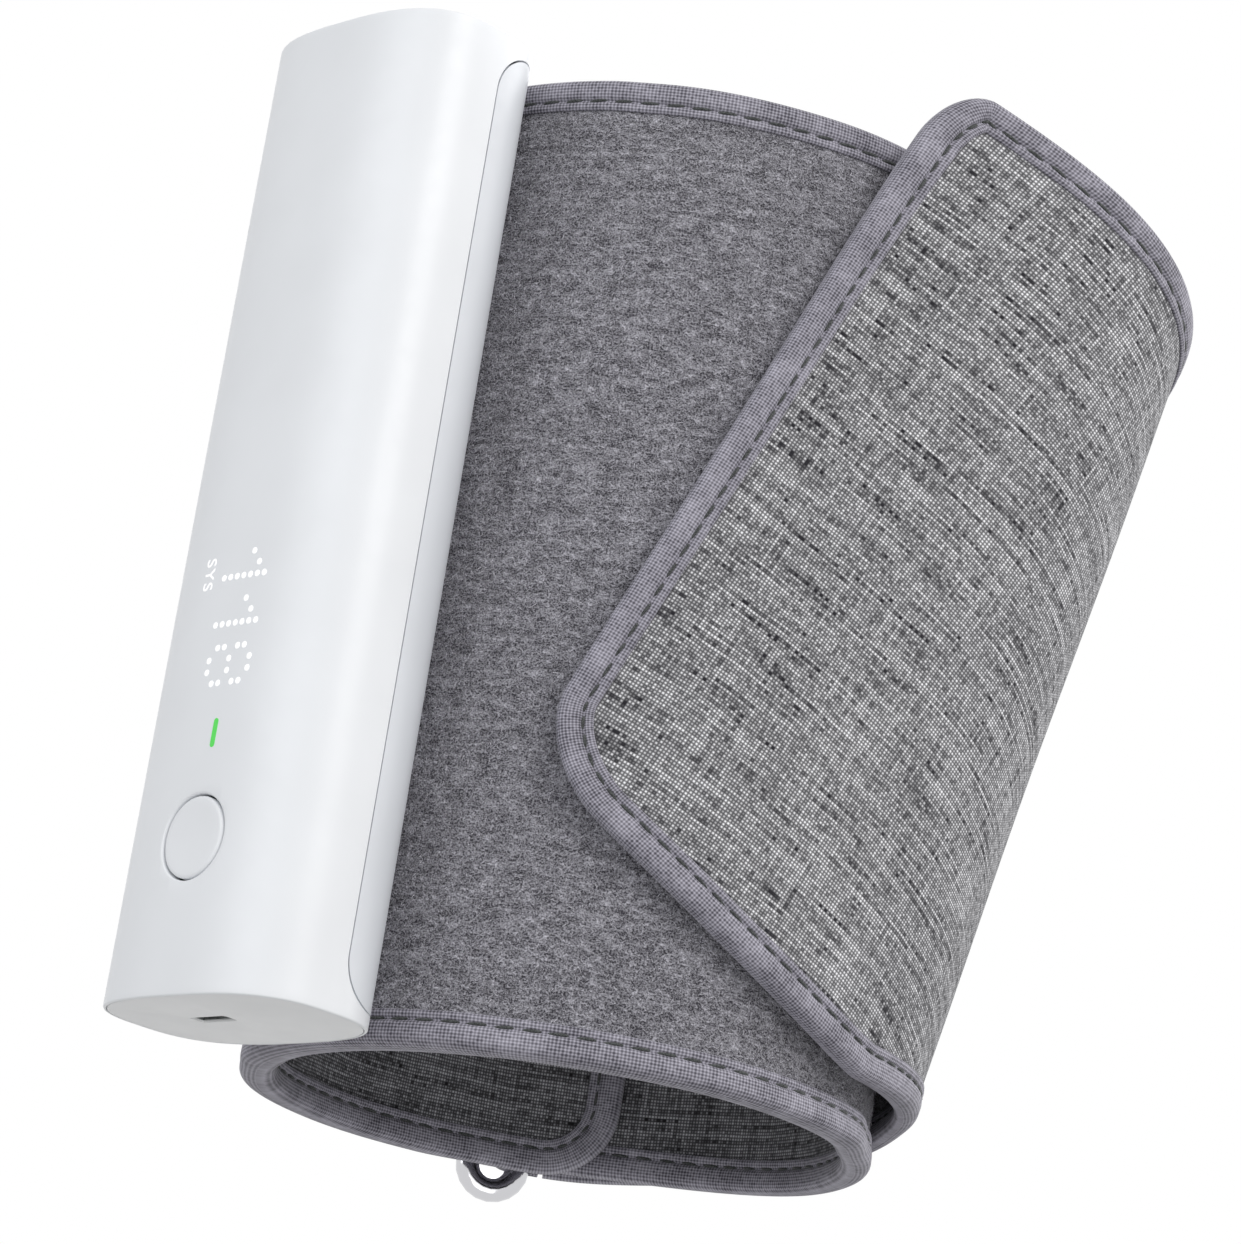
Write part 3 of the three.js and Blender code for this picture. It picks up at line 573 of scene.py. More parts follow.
@dataclass(frozen=True)
class HeatherCloth(Cloth):
    """Plain weave of pale and dark yarns, in uneven runs along the cloth, with painted shade between
    the yarns and a painted highlight on their crests.
    """

    pitch: float = 0.53
    level: float = 0.35
    run: float = 16.0
    contrast: float = 1.15
    offset: float = 0.93  # noise step from one yarn to the next

    def make(self) -> bpy.types.Material:
        """Builds the material."""
        w = Weave(self.name, Coordinates.CLOTH)
        u, v, _ = w.split()
        v = v + (w.noise(w.where, 0.06, 2) - 0.5) * 1.2
        column, row = (w.math("FLOOR", along / self.pitch) for along in (u, v))
        weft = w.noise(w.join(u / self.run, row * self.offset))
        warp = w.noise(w.join(column * self.offset, v / self.run, 9.0))
        grain = w.speckle(w.join(column, row, 3.0))
        lightness = (weft - 0.5) * self.contrast + self.level
        lightness = lightness + (warp - 0.5) * (self.contrast * 0.45) + (grain - 0.5) * 0.35
        knots_and_painted_shade = self.crest(w, u) * self.crest(w, v)
        # painted shade and highlight: the yarn colour is darkened between the yarns and lightened on
        # their crests, after the bump's relief
        w.cloth(w.math("MULTIPLY", lightness, knots_and_painted_shade * 1.75 + 0.3, clamp=True), self, 0.2, 0.08)
        w.bump(knots_and_painted_shade, 0.07, 0.8)
        return w.material

    def crest(self, w: Weave, along: Signal) -> Signal:
        """A yarn's rounded back, from 0 between yarns to 1 on the crest."""
        return w.math("COSINE", (along - self.pitch / 2) * (2 * math.pi / self.pitch)) * 0.5 + 0.5


@dataclass(frozen=True)
class LoopPile(Cloth):
    """Brushed loop cloth: curled fibre in short rows, felted in places."""

    curl: float = 0.28
    strand: float = 0.06

    def make(self) -> bpy.types.Material:
        """Builds the material."""
        w = Weave(self.name, Coordinates.CLOTH)
        u, v, _ = w.split()
        lain = w.join(u / 1.7, v)
        curls = w.math("MAXIMUM", self.strands(w, lain, 1.1), self.strands(w, w.where, 1.6))
        elsewhere = w.add("VectorMath", {0: lain, 1: (7.0, 3.0, 5.0)}, operation="ADD")
        felt = w.noise(w.join(u / 4.0, v / 1.6, 1.0), 1.0, 3)
        fine = w.noise(w.where, 1 / self.curl, 3)
        height = curls * 0.6 + self.strands(w, elsewhere, 0.6) * 0.4
        share = height * 0.5 + w.rescale(fine, 0.38, 0.62, -0.1, 0.4) + w.spread(felt, -0.14, 0.14)
        w.cloth(w.math("MAXIMUM", share, 0.0, clamp=True), self, 0.1, 0.25)
        w.bump(height + fine * 0.7, 0.45, 0.9)
        return w.material

    def strands(self, w: Weave, where: Signal, scale: float) -> Signal:
        """Thin curled lines, 1 along each line and 0 between."""
        off = w.math("ABSOLUTE", w.noise(where, scale, 1.5) - 0.5)
        return w.rescale(off, 0.0, self.strand, 1.0, 0.0)


@dataclass(frozen=True)
class BindingWeave(Cloth):
    """Folded tape in a small basket weave, with painted shade between its knots and a painted highlight
    on them.
    """

    pitch: float = 0.5

    def make(self) -> bpy.types.Material:
        """Builds the material."""
        w = Weave(self.name, Coordinates.CLOTH)
        u, v, _ = w.split()
        one, other = (w.math("COSINE", way * (math.pi / self.pitch)) for way in (u + v, u - v))
        knots_and_painted_shade = one * other * 0.5 + 0.5
        cell = w.speckle(w.join(*(w.math("FLOOR", along / self.pitch) for along in (u, v))))
        worn = w.spread(w.noise(w.where, 0.16, 3), -0.05, 0.2)
        # painted shade and highlight: the tape is darker between the weave's knots and paler on them,
        # after the bump's relief
        share = w.math("POWER", knots_and_painted_shade, 1.4) * 0.75 + worn
        w.cloth(w.math("ADD", share, (cell - 0.5) * 0.22, clamp=True), self, 0.3, 0.15)
        w.bump(knots_and_painted_shade, 0.09, 0.8)
        return w.material


@dataclass(frozen=True)
class Thread(Cloth):
    """Twisted sewing thread, or loose fibre."""

    def make(self) -> bpy.types.Material:
        """Builds the material."""
        w = Weave(self.name, Coordinates.OBJECT)
        twist = w.noise(w.where, 5.0, 2)
        w.cloth(w.rescale(twist, 0.38, 0.62, 0, 1), self, 0.25, 0.2)
        w.bump(twist, 0.05)
        return w.material


@dataclass(frozen=True)
class HookTape:
    """Stiff hook fastener: close rows of tiny dark hooks."""

    name: str
    colour: Colour
    pitch: float = 1.1

    def make(self) -> bpy.types.Material:
        """Builds the material."""
        w = Weave(self.name, Coordinates.CLOTH)
        u, v, _ = w.split()
        turn = 2 * math.pi / self.pitch
        height = w.math("COSINE", u * turn) * w.math("COSINE", v * turn) * 0.5 + 0.5
        lit = tuple(min(1.0, c * 3) for c in self.colour[:3]) + (1.0,)
        w.surface(Base_Color=w.mix(w.math("POWER", height, 3.0), self.colour, lit), Roughness=0.55)
        w.bump(height, 0.35)
        return w.material


@dataclass(frozen=True)
class Glow:
    """A small light that shows through the shell."""

    name: str
    colour: Colour
    strength: float

    def make(self) -> bpy.types.Material:
        """Builds the material."""
        w = Weave(self.name, Coordinates.OBJECT)
        lit = w.mix(w.spread(w.noise(w.where, 2.0, 1), 0.94, 1.0), (0, 0, 0, 1), self.colour)
        w.surface(Base_Color=self.colour, Roughness=0.4, Emission_Color=lit,
                  Emission_Strength=self.strength)
        return w.material


@dataclass(frozen=True)
class Board:
    """Green circuit board with copper runs under its lacquer."""

    name: str

    def make(self) -> bpy.types.Material:
        """Builds the material."""
        w = Weave(self.name, Coordinates.OBJECT)
        z = w.split()[2]
        cloudy = w.noise(w.join(z * 0.6, w.noise(w.where, 0.4, 0)), 1.0, 0)
        runs = w.math("GREATER_THAN", cloudy, 0.55)
        w.surface(Base_Color=w.mix(runs, rgb(22, 84, 50), rgb(36, 112, 66)), Roughness=0.35)
        w.bump(runs, 0.03)
        return w.material


@dataclass(frozen=True)
class ClearPlastic:
    """Milky see-through plastic of the small air parts."""

    name: str

    def make(self) -> bpy.types.Material:
        """Builds the material."""
        w = Weave(self.name, Coordinates.OBJECT)
        rough = w.spread(w.noise(w.where, 0.7, 2), 0.15, 0.3)
        w.surface(Base_Color=rgb(226, 232, 228), Transmission_Weight=0.6, IOR=1.49, Roughness=rough)
        return w.material


class Finishes:
    """Every material of the object, made once."""

    def __init__(self) -> None:
        """Builds them all."""
        made = [
            SatinPlastic("front_white", rgb(241, 243, 246), 0.36),
            SatinPlastic("rear_white", rgb(228, 231, 236), 0.4),
            # painted light: the end plates' white is paler than the front shell's to make up for the
            # little light that reaches them
            SatinPlastic("end_white_painted_lit", rgb(246, 247, 248), 0.45),
            SatinPlastic("dark_plastic", rgb(44, 46, 50), 0.5, 0.8, 0.02),
            SatinPlastic("cell_wrap", rgb(60, 96, 150), 0.35, 0.85),
            SatinPlastic("rubber", rgb(82, 84, 88), 0.75, 0.85, 0.02),
            SatinPlastic("film", rgb(206, 200, 188), 0.45, 0.85, 0.03),
            Metal("chrome", (0.6, 0.6, 0.62, 1.0), 0.09),
            Metal("plain_steel", (0.62, 0.63, 0.65, 1.0), 0.28, 0.02),
            Metal("port_steel", (0.32, 0.33, 0.33, 1.0), 0.34, 0.02),
            HeatherCloth("flap_heather", rgb(38, 37, 42), rgb(252, 252, 255)),
            HeatherCloth("lining_heather", rgb(22, 21, 24), rgb(200, 200, 206), level=0.36,
                         run=22.0, contrast=1.2),
            LoopPile("loop_pile", rgb(62, 60, 67), rgb(228, 226, 236), 1.0, 0.4),
            BindingWeave("binding", rgb(68, 66, 75), rgb(200, 197, 210), 0.72, 0.4),
            Thread("stitch_thread", rgb(44, 46, 46), rgb(88, 91, 90), 0.8),
            Thread("pile_fibre", rgb(150, 148, 156), rgb(226, 224, 232), 0.8),
            HookTape("hook_tape", rgb(38, 38, 42)),
            Glow("dot_glow", (1.0, 1.0, 1.0, 1.0), 0.35),
            Glow("green_glow", rgb(70, 190, 72), 0.45),
            Board("circuit_board"),
            ClearPlastic("clear_plastic"),
        ]
        self.made = {finish.name: finish.make() for finish in made}

    def on(self, obj: Piece, name: str) -> Piece:
        """Gives obj one finish all over."""
        obj.data.materials.clear()
        obj.data.materials.append(self.made[name])
        return obj


# ---- cuff band -------------------------------------------------------------------------------
@dataclass
class Outline:
    """A bound edge: a path in the cloth's own flat plane, laid into space by the cloth.

    Attributes:
        path: (N, 2) points along the edge, with the cloth on their left.
        lay: gives points in metres from flat x, flat y and depth through the cloth.
        thickness: cloth thickness in millimetres at flat x.
        inner: how far each face is pressed in at flat x.
    """

    path: Array
    lay: Callable[[Array, Array, Array], Array]
    thickness: Callable[[Array], Array]
    inner: Callable[[Array], Array] = field(default=lambda x: 0.0 * x)

    def __post_init__(self) -> None:
        """Measures the path."""
        self.at = lengths_along(self.path)
        self.length = float(self.at[-1])
        way = np.gradient(self.path, self.at, axis=0)
        self.left = np.stack([-way[:, 1], way[:, 0]], -1) / np.linalg.norm(way, axis=1)[:, None]

    def point(self, s: Array, inward: Array, side: Array, out: Array) -> Array:
        """Points near the edge.

        Args:
            s: millimetres along the path.
            inward: millimetres into the cloth.
            side: 0 for the inner face and 1 for the outer one, or a share between them.
            out: millimetres beyond that face.

        Returns:
            Points in metres in the row frame.
        """
        s = np.clip(s, 0, self.length)
        on_path, left = read_at(s, self.at, self.path), read_at(s, self.at, self.left)
        x, y = (start + inward * way for start, way in zip(on_path, left))
        middle = self.inner(x)
        depth = middle + side * (self.thickness(x) - 2 * middle) + np.where(side > 0.5, out, -out)
        return self.lay(x, y, depth)


def rounded(points: Sequence[tuple[float, float]], radii: Sequence[float]) -> Array:
    """A polyline whose corners are turned on arcs.

    Args:
        points: its corner points.
        radii: for each inner point, its corner radius; 0 keeps the point.

    Returns:
        (N, 2) points.
    """
    out = [np.array(points[0], float)]
    for before, corner, after, r in zip(points, points[1:], points[2:], radii):
        before, corner, after = (np.array(p, float) for p in (before, corner, after))
        if not r:
            out.append(corner)
            continue
        a, b = (before - corner), (after - corner)
        a, b = a / np.linalg.norm(a), b / np.linalg.norm(b)
        half = math.acos(float(np.clip(a @ b, -1, 1))) / 2
        centre = corner + (a + b) / np.linalg.norm(a + b) * r / math.sin(half)
        start = corner + a * r / math.tan(half) - centre
        end = corner + b * r / math.tan(half) - centre
        for t in np.linspace(0, 1, 16):
            turn = math.pi - 2 * half
            mixed = (math.sin((1 - t) * turn) * start + math.sin(t * turn) * end) / math.sin(turn)
            out.append(centre + mixed)
    out.append(np.array(points[-1], float))
    return np.array(out)


@dataclass
class Binding:
    """Puffed tape folded over an edge, with a row of stitches on each face."""

    puff: float = 0.92
    stitch_in: float = 3.9
    stitch: float = 2.75
    pitch: float = 3.6
    step: float = 0.95

    def section(self) -> Array:
        """The tape's section: inward distances, sides and heights beyond the cloth's faces."""
        turn = np.radians(np.linspace(0, 90, 9))
        nose_in = 1.5 * (1 - np.cos(turn))
        nose_out = self.puff * np.sin(turn) ** 0.8
        nose_side = 0.5 + 0.5 * np.sin(turn) ** 0.8
        flank = np.array([
            (2.3, 1.0), (3.0, 0.94), (3.45, 0.76), (3.65, 0.5), (3.8, 0.28), (4.0, 0.26),
            (4.2, 0.5), (4.5, 0.64), (4.9, 0.66), (5.25, 0.56), (5.4, 0.3), (5.42, 0.1),
            (5.1, 0.03), (3.2, 0.03), (1.1, 0.03),
        ])
        inward = np.concatenate([nose_in, flank[:, 0]])
        out = np.concatenate([nose_out, flank[:, 1] * self.puff])
        side = np.concatenate([nose_side, np.ones(len(flank))])
        halves = (inward, inward), (side, 1 - side), (out, out)
        loop = [np.concatenate([one, other[:0:-1]]) for one, other in halves]
        return np.stack([np.append(part, part[0]) for part in loop], -1)

    def build(self, name: str, edge: Outline) -> Piece:
        """Lays the tape along an edge.

        Args:
            name: the piece's name.
            edge: the edge that it binds.

        Returns:
            The tape.
        """
        section = self.section()
        inward, side, out = section.T
        round_it = lengths_along(np.stack([inward, out + side * 2], -1))
        number = np.arange(len(section))
        count = len(section) - 1

        def place(u: Array, v: Array) -> Array:
            """Share of the length and of the section to a point."""
            s, k = u * edge.length, v * count
            into, face, rise = read_at(k, number, section)
            pucker = np.cos(2 * np.pi * s / self.pitch)
            near = np.exp(-(((into - self.stitch_in) / 0.7) ** 2))
            uneven = 1 + 0.05 * np.sin(s / 7.3) + 0.03 * np.sin(s / 3.1 + 1)
            sunk = 0.09 * near * pucker * (rise > 0.2)
            return edge.point(s, into, face, rise * uneven - sunk)

        def uv(u: Array, v: Array) -> Array:
            """Millimetres along the tape and round its section."""
            return np.stack([u * edge.length, np.interp(v * count, number, round_it)], -1)

        obj = shaped_grid(name, int(edge.length / self.step), count, place, uv)
        in_edit_mode(obj, lambda: bpy.ops.mesh.remove_doubles(threshold=1e-7))
        self.close_ends(obj)
        smooth(obj, 70)
        return obj

    def close_ends(self, obj: Piece) -> None:
        """Fills the open ends of a tube of tape and turns its faces outwards."""
        in_edit_mode(
            obj,
            lambda: bpy.ops.mesh.select_all(action="DESELECT"),
            lambda: bpy.ops.mesh.select_mode(type="EDGE"),
            lambda: bpy.ops.mesh.select_non_manifold(extend=False),
            lambda: bpy.ops.mesh.fill_holes(sides=0),
            lambda: bpy.ops.mesh.select_all(action="SELECT"),
            lambda: bpy.ops.mesh.normals_make_consistent(inside=False),
        )

    def stitches(self, name: str, edge: Outline, sides: Sequence[int] = (0, 1)) -> Piece:
        """Sews a run of stitches on the tape.

        Args:
            name: the piece's name.
            edge: the edge that the tape binds.
            sides: the faces that show stitches, 0 inner and 1 outer.

        Returns:
            All the stitches, as one piece.
        """
        master = primitive("cylinder", vertices=8, radius=0.5, depth=1, rotation=LAID)
        cut_across(master, -0.3, 0.0, 0.3)
        random = np.random.default_rng(SEED)
        places = []
        for side in sides:
            for k in range(int(edge.length / self.pitch) - 1):
                s0 = (k + 0.75) * self.pitch + random.normal(0, 0.05)
                tilt = 0.07 + random.normal(0, 0.03)
                long = self.stitch * random.uniform(0.92, 1.05)
                places.append(self.stitch_place(edge, float(side), s0, tilt, long))
        return mesh_copies(name, master, places)

    def stitch_place(self, edge: Outline, side: float, s0: float, tilt: float, long: float) -> Move:
        """How one stitch's points are laid on the tape.

        Args:
            edge: the edge that the tape binds.
            side: 0 for the inner face and 1 for the outer one.
            s0: the stitch's middle along the edge.
            tilt: its slant across the tape.
            long: its length.

        Returns:
            A function from the master's points to points in metres.
        """
        def place(co: Array) -> Array:
            """A capsule that dips into the tape at its ends."""
            x, y, z = co.T
            thin = 0.46 * (1 - 0.35 * (2 * np.abs(x)) ** 3)
            rise = 0.5 * self.puff + 0.02 - 0.36 * (2 * np.abs(x)) ** 2.4 + z * thin
            inward = self.stitch_in + y * thin + tilt * x * long
            return edge.point(s0 + x * long, inward, np.full_like(x, side), rise)

        return place


@dataclass
class CuffBand:
    """The wrapped band: lining, bladder, outer loop cloth, and the binding round them."""

    corner: float = 12.0
    pinch: float = 0.9
    bladder: float = 1.2
    weld: float = 9.0  # from the band's edge to the air bag's
    crowded: float = 0.06  # share of the steps that the rounded end gets
    fuzz: int = 16000

    def swelling(self, angle: Array) -> Array:
        """1 where the band holds its bladder, 0 where it is only cloth."""
        return ramp(angle, 105, 117) * (1 - ramp(angle, 335, 350))

    def thickness(self, angle: Array) -> Array:
        """Band thickness."""
        return lerp(THIN, THICK, self.swelling(angle))

    def inside(self, angle: Array) -> Array:
        """Radius of the band's inner face."""
        return BORE_R + CLIMB * ramp(angle, 335, 425)

    def ends(self, angle: Array) -> tuple[Array, Array]:
        """Heights of the bottom and top edges."""
        narrow = ramp(angle, 385, 440)
        return lerp(0.0, STRAP_BOTTOM, narrow), lerp(WIDTH, STRAP_TOP, narrow)

    def squeeze(self, angle: Array) -> Array:
        """How far each face is pressed in at its edges; less behind the monitor."""
        clear = 1 - ramp(angle, 185, 195) * (1 - ramp(angle, 250, 260))
        return self.pinch * self.swelling(angle) * lerp(0.35, 1.0, clear)

    def crown(self, angle: Array, z: Array) -> Array:
        """How far a face stays back from its full depth near the edges."""
        bottom, top = self.ends(angle)
        near = np.minimum(z - bottom, top - z)
        return self.squeeze(angle) * (1 - ramp(near, 4.5, 17))

    def ripple(self, angle: Array, z: Array) -> Array:
        """The soft unevenness of a padded band, nil behind the monitor."""
        behind = ramp(angle, 180, 196) * (1 - ramp(angle, 248, 262))
        clear = (1 - behind) * ramp(angle, 100, 125) * (1 - ramp(angle, 330, 350))
        a = np.radians(angle)
        slow, quick = np.sin(5 * a + z / 37), 0.6 * np.sin(11 * a - z / 23 + 1)
        return 0.16 * (slow + quick + 0.5 * np.sin(z / 17 + 3 * a)) * clear

    def point(self, angle: Array, z: Array, depth: Array) -> Array:
        """A point in the band, in metres."""
        return to_row(polar(self.inside(angle) + depth + self.ripple(angle, z), angle, z))

    def angle_at(self, u: Array) -> Array:
        """Angle at a share of the length, crowded in the rounded end."""
        start = BAND_START + degrees_of(EDGE, BORE_R)
        bend = float(degrees_of(self.corner, BORE_R))
        share = np.clip(u / self.crowded, 0, 1)
        rest = np.clip((u - self.crowded) / (1 - self.crowded), 0, 1)
        return np.where(u < self.crowded, start + bend * (1 - np.cos(share * np.pi / 2)),
                        lerp(start + bend, BAND_END, rest))

    def inset(self, angle: Array) -> Array:
        """How far the cloth stays inside its outline, with the inner end's corners rounded."""
        distance = np.maximum(np.radians(angle - BAND_START) * BORE_R - EDGE, 0)
        r = self.corner - EDGE
        into = np.maximum(r - distance, 0)
        return EDGE + r - np.sqrt(np.maximum(r * r - into * into, 0))

    def cloth(self, name: str, outer: bool, steps: int = 260, rows: int = 70) -> Piece:
        """One face of the band as a sheet.

        Args:
            name: the piece's name.
            outer: the loop cloth outside, or the lining inside.
            steps: faces round the band.
            rows: faces across it.

        Returns:
            The sheet, with its thickness.
        """
        thick = LOOP_CLOTH if outer else LINING

        def where(u: Array, v: Array) -> tuple[Array, Array]:
            """Angle and height."""
            angle = self.angle_at(u)
            bottom, top = self.ends(angle)
            inset = self.inset(angle)
            return angle, lerp(bottom + inset, top - inset, v)

        def place(u: Array, v: Array) -> Array:
            """The middle of the cloth."""
            angle, z = where(u, v)
            back = self.crown(angle, z)
            depth = self.thickness(angle) - thick / 2 - back if outer else thick / 2 + back
            return self.point(angle, z, depth)

        def uv(u: Array, v: Array) -> Array:
            """Millimetres round the band and up it."""
            angle, z = where(u, v)
            return np.stack([np.radians(angle) * CUFF_R, z], -1)

        obj = shaped_grid(name, steps, rows, place, uv)
        thicken(obj, thick)
        smooth(obj, 50)
        return obj

    def edge(self) -> Outline:
        """The outline from the ring along the bottom, round the inner end and back along the top."""
        far = np.linspace(BAND_END, BAND_START + 20, 400)
        bottom, top = self.ends(far)
        x = np.radians(far) * BORE_R
        start = math.radians(BAND_START) * BORE_R
        corners = [(x[-1], 0), (start, 0), (start, WIDTH), (x[-1], WIDTH)]
        end = rounded(corners, [self.corner, self.corner])[1:-1]
        path = np.concatenate([np.stack([x, bottom], -1), end, np.stack([x, top], -1)[::-1]])[::-1]

        def lay(flat_x: Array, flat_y: Array, depth: Array) -> Array:
            """Flat place to space."""
            return self.point(np.degrees(flat_x / BORE_R), flat_y, depth)

        def thick(flat_x: Array) -> Array:
            """Band thickness at a flat place."""
            return self.thickness(np.degrees(flat_x / BORE_R))

        def pinched(flat_x: Array) -> Array:
            """How far the band is squeezed at its edge."""
            return self.squeeze(np.degrees(flat_x / BORE_R))

        return Outline(resampled(path, 0.6), lay, thick, pinched)

    def air_bladder(self) -> Piece:
        """The flat air bag between lining and stiffener, with its welded rim."""
        middle = LINING + GAP + self.bladder / 2
        weld = self.weld
        round_it, across = 160, 280  # the bag laid flat, both its faces

        def place(u: Array, v: Array) -> Array:
            """Across and round; the bag thins at its welded rim."""
            angle = lerp(122.0, 330.0, u)
            z = lerp(weld, WIDTH - weld, np.where(v < 0.5, 2 * v, 2 - 2 * v))
            rim = np.minimum(np.minimum(z - weld, WIDTH - weld - z), np.minimum(u, 1 - u) * round_it)
            half = (0.15 + 0.4 * ramp(rim, 2, 9)) * np.where(v < 0.5, 1, -1) * ramp(rim, -0.01, 0.6)
            return to_row(polar(BORE_R + middle + half, angle, z))

        def uv(u: Array, v: Array) -> Array:
            """Millimetres round the bag and across both its faces."""
            return np.stack([u * round_it, v * across], -1)

        obj = shaped_grid("air_bladder", 90, 80, place, uv)
        in_edit_mode(obj, lambda: bpy.ops.mesh.remove_doubles(threshold=2e-6))
        merge_and_face_out(obj, 2e-6)
        smooth(obj)
        return obj

    def fuzz_fibres(self) -> Piece:
        """Loose fibre ends that stand a little off the loop cloth."""
        master = primitive("cone", vertices=3, radius1=0.5, radius2=0, depth=1, rotation=LAID)
        cut_across(master, -0.05)
        random = np.random.default_rng(SEED)
        places = []
        for _ in range(self.fuzz):
            angle = random.uniform(95, 448)
            bottom, top = (float(v) for v in self.ends(np.array(angle)))
            places.append(self.fibre_place(
                angle, random.uniform(bottom + 6, top - 6), random.uniform(0, 2 * math.pi),
                random.uniform(0.6, 1.7), random.uniform(0.1, 0.32), random.normal(0, 0.8),
            ))
        return mesh_copies("cuff_fuzz", master, places)

    def fibre_place(
        self, angle: float, z0: float, heading: float, long: float, rise: float, curl: float
    ) -> Move:
        """How one fibre's points are laid on the cloth.

        Args:
            angle: where its root is round the band.
            z0: its root's height.
            heading: the way it sets off, in radians.
            long: its length.
            rise: how far it stands off.
            curl: how much it turns, in radians.

        Returns:
            A function from the master's points to points in metres.
        """
        def place(co: Array) -> Array:
            """A short bent hair."""
            x, y, z = co.T
            t = x + 0.5
            turn = heading + curl * t
            along, across = t * long * np.cos(turn), t * long * np.sin(turn)
            side = y * 0.13
            a = angle + degrees_of(along - side * np.sin(turn), CUFF_R)
            height = z0 + across + side * np.cos(turn)
            face = self.thickness(a) - self.crown(a, height) - 0.03
            return self.point(a, height, face + rise * np.sin(np.pi * 0.8 * t) + z * 0.1)

        return place

    def build(self, finishes: Finishes) -> None:
        """Models, dresses and places the band."""
        lining = finishes.on(self.cloth("cuff_lining", outer=False), "lining_heather")
        ride(lining, "cuff", "heather_weave", "lining")
        outer = finishes.on(self.cloth("cuff_outer_cloth", outer=True), "loop_pile")
        ride(outer, "cuff", "loop_pile", "outer_fabric")
        edge, binding = self.edge(), Binding()
        tape = finishes.on(binding.build("cuff_binding", edge), "binding")
        ride(tape, "cuff", "binding_tape", "cuff_edge_bottom", "cuff_edge_end", "cuff_edge_top")
        sewn = finishes.on(binding.stitches("cuff_stitches", edge), "stitch_thread")
        ride(sewn, "cuff", "binding_tape")
        fuzz = finishes.on(self.fuzz_fibres(), "pile_fibre")
        ride(fuzz, "cuff", "loop_pile")
        bag = finishes.on(self.air_bladder(), "film")
        ride(bag, "cuff", "bladder_film", "bladder")


